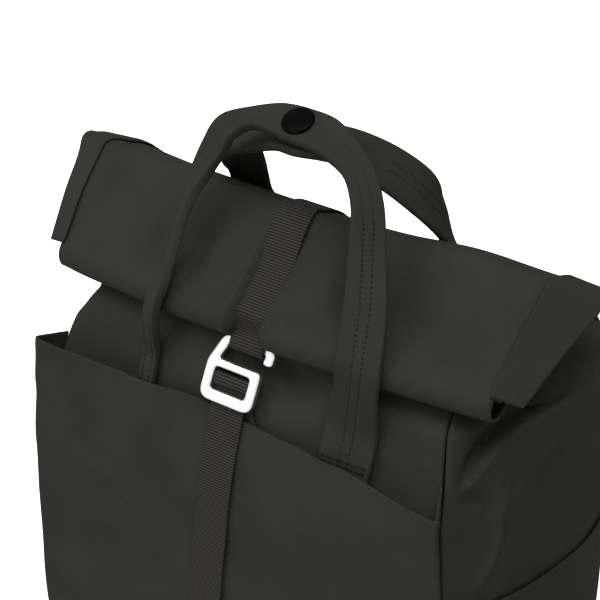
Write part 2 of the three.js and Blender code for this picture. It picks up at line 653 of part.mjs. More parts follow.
// Flattened strips: follow the roll's outer layer, wider towards the ridge
const strip = columnsOf(stripRows, 'share');
const stripStations = rollPath.map((point, i) => i).filter((i) => i <= stripLast);
for (const [label, side] of [['right', 1], ['left', -1]]) {
  const layer = (lift) => stripStations.map((i, k) => [0, 0.4, 1].map((t) => {
    const share = k / (stripStations.length - 1);
    return onRoll(i, lift, side * (strip[label + 'Inner'](share) + t * strip[label + 'Width'](share)));
  }));
  const low = rollMid + seat;
  addSheet('roll_end_' + label, layer(low + stripThick), layer(low), materials.cloth);
}

// Handles: feet sewn flat on the panels, legs and a grip
function footRow(surface, side, z, foot) {
  const half = surface === onFront ? frontHalf(side, z) : back.half(z);
  const share = side * foot.spread / half;
  const at = surface(share, z);
  const across = surface(share + 0.05, z).sub(surface(share - 0.05, z));
  const up = surface(share, z + 4).sub(surface(share, z - 4));
  const face = across.cross(up).normalize();
  if (surface === onBack) face.negate();
  at.addScaledVector(face, foot.thick / 2 + seat + 0.8);
  const facing = { faceX: face.x, faceY: face.y, faceZ: face.z };
  return { x: at.x, y: at.y, z: at.z, ...facing, wide: foot.wide, thick: foot.thick };
}

function addHandle(name, surface, feet, rightFoot, right, grip, left, leftFoot) {
  const rows = [
    ...feet.map((z) => footRow(surface, 1, z, rightFoot)),
    ...right,
    grip,
    ...left,
    ...feet.map((z) => footRow(surface, -1, z, leftFoot)).reverse(),
  ];
  addSweep(name, stationsThrough(rows, 48), softProfile, materials.cloth);
}

addHandle('front_handle', onFront, frontFeet, leg, frontHandleRight, frontGrip, frontHandleLeft, foldedLeg);
addHandle('rear_handle', onBack, rearFeet, rearLeg, rearHandleRight, rearGrip, rearHandleLeft, rearLeg);

// Press stud: a domed cap on the front grip and a stud between the grips
function turned(name, profile, centre, material) {
  const geometry = new THREE.LatheGeometry(profile.map(([r, h]) => new THREE.Vector2(r, h)), 24);
  const face = vec(frontGrip.faceX, frontGrip.faceY, frontGrip.faceZ).normalize();
  geometry.applyQuaternion(new THREE.Quaternion().setFromUnitVectors(vec(0, 1, 0), face));
  geometry.translate(centre.x, centre.y, centre.z);
  addMesh(name, geometry, material);
}

const gripFace = vec(frontGrip.faceX, frontGrip.faceY, frontGrip.faceZ).normalize();
const frontGripAt = vec(frontGrip.x, frontGrip.y, frontGrip.z);
const rearGripAt = vec(rearGrip.x, rearGrip.y, rearGrip.z);
const capAt = frontGripAt.clone().addScaledVector(gripFace, gripThick / 2 + seat);
const capProfile = [[0, 0], [capRadius - 0.4, 0], [capRadius, 0.5], [capRadius - 0.2, 1.3],
  [capRadius - 1.6, 2.3], [capRadius - 4.5, capHeight], [0, capHeight]];
turned('snap_cap', capProfile, capAt, materials.stud);
const studSpan = frontGripAt.clone().sub(rearGripAt).dot(gripFace) - gripThick - 2 * seat;
const studAt = frontGripAt.clone().addScaledVector(gripFace, -gripThick / 2 - seat - studSpan);
turned('snap_stud', [[0, 0], [studRadius, 0], [studRadius, studSpan], [0, studSpan]], studAt, materials.stud);

// Hook buckle: plate with a webbing slot, an arm that rises at the left and turns over to a tip at the right
function plateShape() {
  const shape = new THREE.Shape();
  shape.moveTo(frameRound - frameHalf, frameLow);
  shape.lineTo(frameHalf - frameRound, frameLow);
  shape.quadraticCurveTo(frameHalf, frameLow, frameHalf, frameLow + frameRound);
  shape.lineTo(frameHalf, frameHigh - 4);
  shape.quadraticCurveTo(frameHalf, frameHigh, frameHalf - 4, frameHigh);
  shape.lineTo(armInner.low + 2, frameHigh);
  shape.quadraticCurveTo(armInner.low, frameHigh, armInner.low, frameHigh + 2);
  shape.lineTo(armInner.high, topBarLow - 2);
  shape.quadraticCurveTo(armInner.high, topBarLow, armInner.high + 2, topBarLow);
  shape.lineTo(tipInner - 1, topBarLow);
  shape.quadraticCurveTo(tipInner, topBarLow, tipInner, topBarLow - 1);
  shape.lineTo(tipInner, tipLow + 2);
  shape.quadraticCurveTo(tipInner, tipLow, tipInner + 3, tipLow);
  shape.quadraticCurveTo(tipOuter, tipLow, tipOuter, tipLow + 3);
  shape.lineTo(tipOuter, topBarHigh - 5);
  shape.quadraticCurveTo(tipOuter, topBarHigh, tipOuter - 5, topBarHigh);
  shape.lineTo(armOuter.high + 7, topBarHigh);
  shape.quadraticCurveTo(armOuter.high + 2, topBarHigh, armOuter.high, topBarHigh - 5);
  shape.lineTo(armOuter.low, frameHigh + 1);
  shape.quadraticCurveTo(-frameHalf, frameHigh - 2, -frameHalf, frameHigh - 5);
  shape.lineTo(-frameHalf, frameLow + frameRound);
  shape.quadraticCurveTo(-frameHalf, frameLow, frameRound - frameHalf, frameLow);
  for (const [low, high] of [[-slotHigh, -crossBarHalf], [crossBarHalf, slotHigh]]) {
    const slot = new THREE.Path();
    slot.moveTo(-slotHalf, low);
    slot.lineTo(-slotHalf, high);
    slot.lineTo(slotHalf, high);
    slot.lineTo(slotHalf, low);
    slot.closePath();
    shape.holes.push(slot);
  }
  return shape;
}

function toManifold(geometry) {
  const flat = geometry.index ? geometry.toNonIndexed() : geometry;
  const mesh = new wasm.Mesh({
    numProp: 3,
    vertProperties: new Float32Array(flat.attributes.position.array),
    triVerts: new Uint32Array(flat.attributes.position.count).map((unused, i) => i),
  });
  mesh.merge();
  return new wasm.Manifold(mesh);
}

function fromManifold(solid) {
  const mesh = solid.getMesh();
  const geometry = new THREE.BufferGeometry();
  geometry.setAttribute('position', new THREE.BufferAttribute(mesh.vertProperties, 3));
  geometry.setIndex(new THREE.BufferAttribute(mesh.triVerts, 1));
  return geometry;
}

const plate = new THREE.ExtrudeGeometry(plateShape(), {
  depth: hookThick - 2 * hookBevel,
  curveSegments: 4,
  bevelThickness: hookBevel,
  bevelSize: hookBevel,
  bevelOffset: -hookBevel,
  bevelSegments: 1,
});
plate.translate(0, 0, -hookThick / 2 + hookBevel);
const recess = new THREE.BoxGeometry(2 * slotHalf - 0.02, 2 * crossBarHalf + 4, hookThick);
recess.translate(0, 0, crossBarBack);
const hook = fromManifold(toManifold(plate).subtract(toManifold(recess)));
const hookOut = { y: -hookUp.z, z: hookUp.y };
hook.applyMatrix4(new THREE.Matrix4().set(
  1, 0, 0, hookAt.x,
  0, hookUp.y, hookOut.y, hookAt.y,
  0, hookUp.z, hookOut.z, hookAt.z,
  0, 0, 0, 1,
));
addMesh('hook_buckle', hook, materials.metal);

function onHook({ v, w }) {
  return [hookAt.y + hookUp.y * v + hookOut.y * w, hookAt.z + hookUp.z * v + hookOut.z * w];
}

// Closure strap: from the back, over the roll, round the hook's top bar
const webLift = seat + webThick / 2;
const overRoll = [];
for (let i = 0; i < 10; i += 1) {
  const point = onRoll(i, rollMid + webLift + (i > 7 ? 0.25 : 0), 0);
  overRoll.push([point.y, point.z]);
}
const strapBack = strapBackZ.map((z) => [onBack(0, z).y + (z < 380 ? 3.6 : 5.5), z]);
addWebbing('closure_strap', [...strapBack, ...overRoll, ...strapLoop.map(onHook)], 60, () => 0);

// Tail strap: sewn to the front panel inside the pocket, over the cross bar, then free in front of the pocket
const tailAnchor = tailAnchorZ.map((z) => [onFront(0, z).y - webLift - 0.1, z]);
const tailFree = [];
for (let z = 300; z >= tailEndZ; z -= 34) {
  const rise = (z - pocketFoot) / (mouthRows[0].right - pocketFoot);
  tailFree.push([onPocket(1, 0, rise).y - webLift - 1.2, z]);
}
const tailPath = [...tailAnchor, ...tailOverBar.map(onHook), ...tailFree];
addWebbing('tail_strap', tailPath, 64, (at, t) => hookAt.x + tailSway * ease((t - 0.62) / 0.38));

// Shoulder straps on the back, mirrored
for (const [label, side] of [['right', 1], ['left', -1]]) {
  const mirrored = (row) => ({ ...row, x: side * row.x, faceX: side * row.faceX });
  const footOn = (z, lift) => {
    const at = onBack(padFoot.x / back.half(z), z);
    const facing = { faceX: 0, faceY: -1, faceZ: 0 };
    return { x: at.x, y: at.y + lift, z, ...facing, wide: padFoot.wide, thick: padFoot.thick };
  };
  const padLift = padFoot.thick / 2 + seat + 1.6;
  const rows = [footOn(padFoot.low, padLift), footOn(padFoot.high, padLift + 1), ...padRows].map(mirrored);
  addSweep('shoulder_strap_' + label, stationsThrough(rows, 22), softProfile, materials.cloth);
  const webFoot = (z) => {
    const at = onBack(webbingFoot.x / back.half(z), z);
    return { x: at.x, y: at.y + webLift + 1, z };
  };
  const webRows = [...webbingRows, webFoot(webbingFoot.high), webFoot(webbingFoot.low)];
  const ribbon = { faceX: 0.1, faceY: 1, faceZ: 0, wide: webWidth, thick: webThick };
  const flat = webRows.map((row) => mirrored({ ...row, ...ribbon }));
  addSweep('strap_webbing_' + label, stationsThrough(flat, 16), flatProfile, materials.webbing);
}

export default part;
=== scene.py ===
import math

import bpy
import numpy as np
from mathutils import Matrix, Vector


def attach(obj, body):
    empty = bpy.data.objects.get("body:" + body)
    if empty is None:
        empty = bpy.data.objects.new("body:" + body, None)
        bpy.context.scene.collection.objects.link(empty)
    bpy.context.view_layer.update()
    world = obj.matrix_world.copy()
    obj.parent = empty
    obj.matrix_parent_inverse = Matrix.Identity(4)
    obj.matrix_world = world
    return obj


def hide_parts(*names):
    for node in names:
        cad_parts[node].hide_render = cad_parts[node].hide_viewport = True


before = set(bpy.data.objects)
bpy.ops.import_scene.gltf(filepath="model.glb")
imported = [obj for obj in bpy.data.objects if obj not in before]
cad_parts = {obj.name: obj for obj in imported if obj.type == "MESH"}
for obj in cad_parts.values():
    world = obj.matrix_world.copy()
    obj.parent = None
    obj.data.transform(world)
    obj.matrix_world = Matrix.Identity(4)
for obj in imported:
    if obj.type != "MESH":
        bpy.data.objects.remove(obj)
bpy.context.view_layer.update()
scene = bpy.context.scene
print("frame loaded")

# Sizes in millimetres, in the frame of the part: +Z up, front towards -Y. Metres only where a mesh is made.
cloth = {"wall": 2.0, "pocket": 1.8, "roll": 2.4, "strip": 1.8, "seat": 0.35, "seamGap": 0.9}
webbing = {"width": 25, "thick": 1.6}


def mix(a, b, t):
    return a + (b - a) * t


def ease(t):
    c = np.clip(t, 0, 1)
    return c * c * (3 - 2 * c)


# The same from a start over a length
def easeFrom(x, start, length):
    return ease((x - start) / length)


def bell(away, width):
    return np.exp(-(away / width) ** 2)


def unit(v):
    return v / np.linalg.norm(v, axis=-1, keepdims=True)


# Smooth curve through a column of a table, without overshoot between its rows
def through(xs, ys):
    xs, ys = np.array(xs, float), np.array(ys, float)
    steps = np.diff(ys) / np.diff(xs)
    slopes = np.concatenate([steps[:1], np.zeros(len(xs) - 2), steps[-1:]])
    for i in range(1, len(xs) - 1):
        if steps[i - 1] * steps[i] > 0:
            slopes[i] = 2 * steps[i - 1] * steps[i] / (steps[i - 1] + steps[i])

    def curve(x):
        x = np.clip(np.asarray(x, float), xs[0], xs[-1])
        i = np.clip(np.searchsorted(xs, x) - 1, 0, len(xs) - 2)
        span, rise = xs[i + 1] - xs[i], ys[i + 1] - ys[i]
        t = (x - xs[i]) / span
        a, b = slopes[i] * span - rise, rise - slopes[i + 1] * span
        return mix(ys[i], ys[i + 1], t) + t * (1 - t) * (a * (1 - t) + b * t)

    return curve


def columnsOf(table, key):
    return {name: through(table[key], table[name]) for name in table if name != key}


# Centripetal curve through points, at shares of its count of spans
def curveThrough(points, shares):
    p = np.array(points, float)
    p = np.vstack([2 * p[0] - p[1], p, 2 * p[-1] - p[-2]])
    spans = len(p) - 3
    made = []
    for share in shares:
        i = min(spans - 1, int(share * spans))
        t = share * spans - i
        x0, x1, x2, x3 = p[i:i + 4]
        d0, d1, d2 = (max(1e-4, np.linalg.norm(b - a)) ** 0.5 for a, b in ((x0, x1), (x1, x2), (x2, x3)))
        m1 = ((x1 - x0) / d0 - (x2 - x0) / (d0 + d1) + (x2 - x1) / d1) * d1
        m2 = ((x2 - x1) / d1 - (x3 - x1) / (d1 + d2) + (x3 - x2) / d2) * d1
        made.append(x1 + m1 * t + (3 * (x2 - x1) - 2 * m1 - m2) * t * t
                    + (2 * (x1 - x2) + m1 + m2) * t ** 3)
    return np.array(made)


# Values from 0 to 1 with a narrow cell at each end, which keeps an edge crisp
def spread(count, edge=0.004):
    return np.concatenate([[0, edge], np.linspace(0, 1, count + 1)[1:-1], [1 - edge, 1]])


# Low waves of a slack cloth, about 1 high
def ripple(a, b, size, seed):
    dice = np.random.default_rng(seed)
    total = 0
    for _ in range(7):
        angle = dice.uniform(0, 2 * math.pi)
        pace = dice.uniform(0.6, 1.5) / size
        start = dice.uniform(0, 6.28)
        total = total + np.sin(2 * math.pi * pace * (a * math.cos(angle) + b * math.sin(angle)) + start)
    return total / 3.2


# Distance from a line of points on a sheet, above 0 on the left of it, and the share along it
def lineAt(a, b, points):
    best, along, left = np.full(np.shape(a), 1e9), np.zeros(np.shape(a)), np.zeros(np.shape(a))
    points = np.array(points, float)
    lengths = np.concatenate([[0], np.cumsum(np.linalg.norm(np.diff(points, axis=0), axis=1))])
    for k in range(len(points) - 1):
        d = points[k + 1] - points[k]
        t = np.clip(((a - points[k][0]) * d[0] + (b - points[k][1]) * d[1]) / (d @ d), 0, 1)
        awayA, awayB = a - points[k][0] - t * d[0], b - points[k][1] - t * d[1]
        away = np.hypot(awayA, awayB)
        closer = away < best
        along = np.where(closer, mix(lengths[k], lengths[k + 1], t) / lengths[-1], along)
        left = np.where(closer, np.sign(d[0] * awayB - d[1] * awayA), left)
        best = np.minimum(best, away)
    return best * left, along


# Soft crease along a line of points
def crease(a, b, points, width, fade=0.25):
    away, along = lineAt(a, b, points)
    return bell(away, width) * ease(along / fade) * ease((1 - along) / fade)


def normalsOf(grid):
    return unit(np.cross(np.gradient(grid, axis=1), np.gradient(grid, axis=0)))


def lengthsOf(grid, axis):
    steps = np.linalg.norm(np.diff(grid, axis=axis), axis=2)
    start = np.zeros_like(np.take(steps, [0], axis=axis))
    return np.cumsum(np.concatenate([start, steps], axis=axis), axis=axis)


def wayAlong(points):
    return lengthsOf(points[:, None], 0)[:, 0]


def shapeNow(piece):
    return bpy.data.meshes.new_from_object(piece.evaluated_get(bpy.context.evaluated_depsgraph_get()))


def pointsOf(mesh):
    points = np.zeros(len(mesh.vertices) * 3)
    mesh.vertices.foreach_get("co", points)
    return points.reshape(-1, 3)


# Faces of a tube of rings that follow each other, with its two ends as the last
def tubeFaces(rings, count):
    ids = np.arange(rings * count).reshape(rings, count)
    nxt = np.roll(ids, -1, axis=1)
    quads = np.stack([ids[:-1], nxt[:-1], nxt[1:], ids[1:]], -1).reshape(-1, 4)
    return quads.tolist() + [ids[0, ::-1].tolist(), ids[-1].tolist()]


def addObject(name, data):
    made = bpy.data.objects.new(name, data)
    scene.collection.objects.link(made)
    return made


def makePiece(name, points, faces, uv, material, node=None, slot="cloth", parent=None):
    name = name + "_look" if node else name
    mesh = bpy.data.meshes.new(name)
    mesh.from_pydata((np.asarray(points) / 1000).tolist(), [], [list(map(int, f)) for f in faces])
    layer = mesh.uv_layers.new(name="mm")
    loops = np.zeros(len(mesh.loops), np.int32)
    mesh.loops.foreach_get("vertex_index", loops)
    layer.data.foreach_set("uv", np.asarray(uv, np.float32)[loops].ravel())
    mesh.polygons.foreach_set("use_smooth", np.ones(len(mesh.polygons), bool))
    mesh.materials.append(material)
    piece = addObject(name, mesh)
    if parent:
        piece.parent = parent
    else:
        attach(piece, "root")
    if node:
        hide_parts(node)
    return piece


# Cloth of two layers of points with a rounded rim; the grid's columns run to the right seen from outside
def addCloth(name, outer, thick, material, node=None, inner=None, insideShade=None):
    rows, cols = outer.shape[:2]
    normal = normalsOf(outer)
    inner = outer - normal * thick if inner is None else inner
    ids = np.arange(rows * cols).reshape(rows, cols)
    outside = np.stack([ids[:-1, :-1], ids[:-1, 1:], ids[1:, 1:], ids[1:, :-1]], -1).reshape(-1, 4)
    border = np.concatenate([ids[0, :-1], ids[:-1, -1], ids[-1, :0:-1], ids[:0:-1, 0]])
    r, c = border // cols, border % cols
    outward = outer[r, c] - outer[np.clip(r, 1, rows - 2), np.clip(c, 1, cols - 2)]
    middle = (outer[r, c] + inner[r, c]) / 2 + unit(outward) * thick * 0.42
    mid = 2 * rows * cols + np.arange(len(border))
    after, midAfter = np.roll(border, -1), np.roll(mid, -1)
    rimOut = np.stack([after, border, mid, midAfter], -1)
    rimIn = np.stack([midAfter, mid, border + rows * cols, after + rows * cols], -1)
    uv = np.stack([lengthsOf(outer, 1), lengthsOf(outer, 0)], -1).reshape(-1, 2)
    points = np.concatenate([outer.reshape(-1, 3), inner.reshape(-1, 3), middle])
    faces = np.concatenate([outside, outside[:, ::-1] + rows * cols, rimOut, rimIn])
    piece = makePiece(name, points, faces, np.concatenate([uv, uv, uv[border]]), material, node)
    # Painted shade: the inner faces take a second, near-black material
    if insideShade:
        piece.data.materials.append(insideShade)
        within = np.zeros(len(faces), np.int32)
        within[len(outside):2 * len(outside)] = 1
        piece.data.polygons.foreach_set("material_index", within)
    return piece


# Stations of a strip through table rows, with the face kept square to the path
def stationsThrough(rows, steps):
    rows = np.array(rows, float)
    shares = np.linspace(0, 1, steps + 1)
    at = curveThrough(rows[:, :3], shares)
    tangent = unit(np.gradient(at, axis=0))
    face = curveThrough(rows[:, 3:6], shares)
    face = unit(face - tangent * (face * tangent).sum(1, keepdims=True))
    size = curveThrough(np.column_stack([rows[:, 6:8], np.zeros(len(rows))]), shares)
    return {"at": at, "across": np.cross(tangent, face), "face": face, "along": tangent,
            "wide": size[:, 0], "thick": size[:, 1]}


# Strip swept along stations; profile(wide, thick) gives its closed section in millimetres
def sweepMesh(stations, profile):
    rings, across = [], []
    for k, at in enumerate(stations["at"]):
        section = profile(stations["wide"][k], stations["thick"][k])
        rings.append(at + np.outer(section[:, 0], stations["across"][k])
                     + np.outer(section[:, 1], stations["face"][k]))
        across.append(section[:, 0])
    rings = np.array(rings)
    count, n = rings.shape[:2]
    faces = tubeFaces(count, n)
    centre = stations["at"].mean(0)
    a, b, c = (rings.reshape(-1, 3)[np.array(faces[:-2])[:, k]] - centre for k in range(3))
    if (a * np.cross(b, c)).sum() < 0:
        faces = [f[::-1] for f in faces]
    path = np.broadcast_to(wayAlong(stations["at"])[:, None], (count, n))
    return rings.reshape(-1, 3), faces, np.stack([np.array(across), path], -1).reshape(-1, 2)


def addStrip(name, stations, profile, material, slot="cloth"):
    piece = makePiece(name, *sweepMesh(stations, profile), material, name, slot)
    return piece


# Closed section of a strip below its upper line, with rounded edges
def roundEdged(top, half, edge, rise, count):
    turn = np.radians(np.linspace(90, -90, count)[1:-1])
    rim = np.column_stack([half - edge + edge * np.cos(turn), rise * np.sin(turn)])
    return np.concatenate([top, rim, top[::-1] * (1, -1), rim[::-1] * (-1, 1)])


# Sine or cosine drawn out for a section between an oval and a box
def boxy(wave, power):
    return np.sign(wave) * np.abs(wave) ** power


# Short threads, each a slim spindle lying along its direction
spindle = [(-0.5, 0.15), (-0.36, 0.8), (0, 1), (0.36, 0.8), (0.5, 0.15)]  # shares of length and radius


def addStitches(name, centres, along, normal, size, parent):
    turn = np.linspace(0, 2 * math.pi, 6, endpoint=False)
    threadFaces = tubeFaces(len(spindle), len(turn))
    points, faces = [], []
    for p, d, n in zip(centres, unit(np.array(along)), unit(np.array(normal))):
        faces += [[len(points) + i for i in face] for face in threadFaces]
        spin = np.outer(np.cos(turn), np.cross(d, n)) + np.outer(np.sin(turn), n)
        for share, fat in spindle:
            points.extend(p + d * share * size["length"] + spin * size["radius"] * fat)
    makePiece(name, points, faces, np.zeros((len(points), 2)), threadMat, parent=parent)


# Materials
def hexColor(code):
    parts = [int(code[i:i + 2], 16) / 255 for i in (1, 3, 5)]
    return (*(c / 12.92 if c <= 0.04045 else ((c + 0.055) / 1.055) ** 2.4 for c in parts), 1.0)


# Adds a node: settings are its attributes or inputs, links its inputs with the (node, output) that feeds
# them, into the input that it feeds itself
def addNode(tree, kind, settings=None, links=None, into=None):
    node = tree.nodes.new("ShaderNode" + kind)
    for key, value in (settings or {}).items():
        if isinstance(key, str) and hasattr(node, key):
            setattr(node, key, value)
        else:
            node.inputs[key].default_value = value
    for key, (source, output) in (links or {}).items():
        tree.links.new(source.outputs[output], node.inputs[key])
    if into:
        tree.links.new(node.outputs[0], into)
    return node


def startMaterial(name, settings):
    material = bpy.data.materials.new(name)
    material.use_nodes = True
    tree = material.node_tree
    shader = tree.nodes["Principled BSDF"]
    for key, value in settings.items():
        shader.inputs[key].default_value = value
    return material, tree, shader.inputs


# Coated plain-weave polyester: matte, with a faint even grain of the yarns and slow changes of tone. Sizes of
# patterns are in millimetres; real yarns of about 0.4 are too fine to show and are drawn coarser
clothFinish = {"tones": ("#23241f", "#2a2b26"), "roughness": 0.85, "shine": 0.1,
               "yarn": 1.7, "grain": 1.4286, "mottle": 45.455, "relief": 0.3}


def clothMaterial():
    material, tree, shader = startMaterial("coated_polyester", {
        "Roughness": clothFinish["roughness"], "IOR": 1.5, "Specular IOR Level": clothFinish["shine"]})
    place = addNode(tree, "TexCoord")
    split = addNode(tree, "SeparateXYZ", links={0: (place, "UV")})
    waves = []
    for axis in (0, 1):
        scaled = addNode(tree, "Math", {"operation": "MULTIPLY", 1: 2 * math.pi / clothFinish["yarn"]},
                         {0: (split, axis)})
        waves.append(addNode(tree, "Math", {"operation": "SINE"}, {0: (scaled, 0)}))
    crossing = addNode(tree, "Math", {"operation": "MULTIPLY"}, {0: (waves[0], 0), 1: (waves[1], 0)})
    grain = addNode(tree, "TexNoise", {"Scale": 1000 / clothFinish["grain"], "Detail": 2, "Roughness": 0.6},
                    {"Vector": (place, "Object")})
    slow = addNode(tree, "TexNoise", {"Scale": 1000 / clothFinish["mottle"], "Detail": 2},
                   {"Vector": (place, "Object")})
    mottle = addNode(tree, "Math", {"operation": "MULTIPLY_ADD", 1: 0.75}, {0: (grain, 0), 2: (slow, 0)})
    both = addNode(tree, "Math", {"operation": "MULTIPLY_ADD", 1: 0.1}, {0: (crossing, 0), 2: (mottle, 0)})
    tone = addNode(tree, "ValToRGB", links={0: (both, 0)}, into=shader["Base Color"])
    tone.color_ramp.elements[0].position = 0.5
    for stop, code in zip(tone.color_ramp.elements, clothFinish["tones"]):
        stop.color = hexColor(code)
    height = addNode(tree, "Math", {"operation": "MULTIPLY_ADD", 1: 0.5}, {0: (crossing, 0), 2: (grain, 0)})
    addNode(tree, "Bump", {"Strength": 0.5, "Distance": clothFinish["relief"] / 1000},
            {"Height": (height, 0)}, shader["Normal"])
    return material


# Woven polyester webbing: ribs across the strip, each a row of raised yarns set half a step aside. Real yarns
# of about 0.6 are too fine to show and are drawn coarser. Its tone is partly painted shade, darker in the low
# parts between the yarns, and partly a random grain
webbingFinish = {"tones": ("#11110f", "#353330"), "roughness": 0.75, "shine": 0.12,
                 "rib": 1.8, "yarn": 2.0, "grain": 1.1111, "relief": 0.4}


def webbingMaterial():
    material, tree, shader = startMaterial("woven_webbing", {
        "Roughness": webbingFinish["roughness"], "IOR": 1.5, "Specular IOR Level": webbingFinish["shine"]})
    place = addNode(tree, "TexCoord")
    split = addNode(tree, "SeparateXYZ", links={0: (place, "UV")})
    waves = []
    for axis, step in ((1, webbingFinish["rib"]), (1, 2 * webbingFinish["rib"]), (0, webbingFinish["yarn"])):
        scaled = addNode(tree, "Math", {"operation": "MULTIPLY", 1: 2 * math.pi / step}, {0: (split, axis)})
        waves.append(addNode(tree, "Math", {"operation": "SINE"}, {0: (scaled, 0)}))
    ribs, rows, yarns = waves
    checks = addNode(tree, "Math", {"operation": "MULTIPLY"}, {0: (rows, 0), 1: (yarns, 0)})
    height = addNode(tree, "Math", {"operation": "MULTIPLY_ADD", 1: 0.7}, {0: (checks, 0), 2: (ribs, 0)})
    grain = addNode(tree, "TexNoise", {"Scale": 1000 / webbingFinish["grain"], "Detail": 2},
                    {"Vector": (place, "Object")})
    shade = addNode(tree, "Math", {"operation": "MULTIPLY_ADD", 1: 0.6}, {0: (grain, 0), 2: (height, 0)})
    share = addNode(tree, "MapRange", {"From Min": -0.9, "From Max": 1.5, "interpolation_type": "SMOOTHSTEP"},
                    {"Value": (shade, 0)})
    # Painted shade: the tone darkens with the low parts of the weave, between the raised yarns; the grain
    # adds random tone
    tone = addNode(tree, "ValToRGB", links={0: (share, 0)}, into=shader["Base Color"])
    for stop, code in zip(tone.color_ramp.elements, webbingFinish["tones"]):
        stop.color = hexColor(code)
    addNode(tree, "Bump", {"Strength": 0.6, "Distance": webbingFinish["relief"] / 1000},
            {"Height": (share, 0)}, shader["Normal"])
    return material


# Spun polyester sewing thread: dull, with the mottle of its twist; its tones are darker than the cloth as
# painted shade of the holes the stitches sink into
threadFinish = {"tones": ("#10110e", "#1a1b16"), "roughness": 0.7, "shine": 0.1, "twist": 0.55556}


def threadMaterial():
    material, tree, shader = startMaterial("sewing_thread", {
        "Roughness": threadFinish["roughness"], "IOR": 1.5, "Specular IOR Level": threadFinish["shine"]})
    place = addNode(tree, "TexCoord")
    twist = addNode(tree, "TexNoise", {"Scale": 1000 / threadFinish["twist"], "Detail": 1},
                    {"Vector": (place, "Object")})
    tone = addNode(tree, "ValToRGB", links={0: (twist, 0)}, into=shader["Base Color"])
    for stop, code in zip(tone.color_ramp.elements, threadFinish["tones"]):
        stop.color = hexColor(code)
    return material


# Hard or coated material of one tone: its roughness goes with clouds, and some have a fine relief
def evenMaterial(name, finish):
    material, tree, shader = startMaterial(name, finish["surface"])
    shader["Base Color"].default_value = hexColor(finish["tone"])
    place = addNode(tree, "TexCoord")
    clouds = addNode(tree, "TexNoise", {"Scale": 1000 / finish["clouds"], "Detail": finish["detail"]},
                     {"Vector": (place, "Object")})
    low, high = finish["roughness"]
    addNode(tree, "MapRange", {"To Min": low, "To Max": high}, {"Value": (clouds, 0)}, shader["Roughness"])
    if "relief" in finish:
        size, detail, strength, depth = finish["relief"]
        fine = addNode(tree, "TexNoise", {"Scale": 1000 / size, "Detail": detail},
                       {"Vector": (place, "Object")})
        addNode(tree, "Bump", {"Strength": strength, "Distance": depth / 1000}, {"Height": (fine, 0)},
                shader["Normal"])
    return material


# Tumbled aluminium: bright satin with faint clouding. The relief is size, detail, strength and depth
metalFinish = {"tone": "#f2f3f3", "surface": {"Metallic": 1.0}, "roughness": (0.24, 0.4),
               "clouds": 3.8462, "detail": 3, "relief": (0.41667, 1, 0.1, 0.05)}
# Lacquered press stud: near black and smooth, with a slight orange-peel
studFinish = {"tone": "#040405", "surface": {"IOR": 1.5, "Specular IOR Level": 0.03},
              "roughness": (0.32, 0.46), "clouds": 1.1111, "detail": 2, "relief": (1.1111, 2, 0.12, 0.1)}
# Painted shade: a near-black tone, rubbery and dull, on the inside faces of the neck's cloth, so that the
# inside of the roll shows dark where its ends are open
insideShadeFinish = {"tone": "#080807", "surface": {"IOR": 1.5, "Specular IOR Level": 0.1},
                "roughness": (0.7, 0.9), "clouds": 1.4286, "detail": 2}
clothMat, webMat, threadMat = clothMaterial(), webbingMaterial(), threadMaterial()
metalMat = evenMaterial("satin_aluminium", metalFinish)
studMat = evenMaterial("painted_stud", studFinish)
insideShadeMat = evenMaterial("painted_shade_inside", insideShadeFinish)
print("materials made")

# Body: a column for each height
frontPanel = {
    "z": [2.8, 9, 24, 130, 235, 280, 304, 320, 335, 350, 357, 372, 390, 407],
    "left": [146, 152, 155, 156, 155.5, 150.5, 150, 146.5, 137, 130.5, 135, 142, 148, 153],
    "right": [146, 152, 155, 156, 155.5, 148.5, 142.5, 139, 136.5, 132.5, 136, 143, 148, 153],
    "front": [-76, -82, -86, -87, -88.5, -81, -69, -63, -58, -40, -32, -17, 1, 13],
    "bow": [3, 4, 5, 6, 4, 3.5, 8, 9.5, 8.5, 17.5, 19, 20, 20, 16.5],
}
backPanel = {
    "z": [2.8, 9, 24, 130, 235, 280, 304, 335, 357, 372, 390, 407],
    "half": [146, 152, 156, 158, 158, 158, 157, 155, 153, 152, 151, 153],
    "back": [110, 118, 122, 126, 126, 124, 120, 107, 89, 66, 40, 19],
    "swell": [1, 1, 2, 3, 2, 1, 0, -4, -9, -11, -14, -12.5],
}
sides = {
    "z": [2.8, 9, 24, 130, 235, 280, 304, 335, 350, 364, 390, 407],
    "fold": [3, 6, 10, 16, 16, 19, 24, 33, 23, 22, 25, 20],
    "round": [2.6, 2.6, 2.6, 2.4, 2.2, 1.9, 1.7, 1.4, 1.3, 1.25, 1.15, 1.1],
    "valley": [0, 0, 0, 0, 0, 1, 3, 8, 8, 6, 2, 0],
}
valley = {"at": 0.22, "spread": 0.13}
sideFold = {
    "wedge": [(-63, 299.5), (-59.7, 303.3), (-47.5, 311.2), (-36, 320), (-25.4, 325.8), (-16, 331), (0, 336),
              (25, 342), (45, 347)],  # points (y, z)
    "deep": 11, "deepOver": 0.3, "lip": 3.5, "lipOver": 0.15, "fade": (0.55, 0.4),  # shares along the wedge
    "narrow": 5, "wide": 15, "step": 1.7, "lipWide": 12, "fromSeam": 7,
    "tuck": 5, "tuckFrom": (336, 14), "tuckTo": (352, 40),
    "creases": [  # height, width, points (y, z)
        (1.6, 4, [(-20.7, 292.6), (0.9, 303.7), (25.4, 310), (72, 318)]),
        (-1.2, 7, [(-29, 299), (-16, 289)]),
        (3, 4.5, [(-27, 292), (-36.8, 275.5), (-39.9, 260.4), (-52, 246), (-70, 232)]),
        (-2.6, 5, [(-63, 299), (-54.2, 294.6), (-45.5, 289), (-40, 277)]),
    ],
}
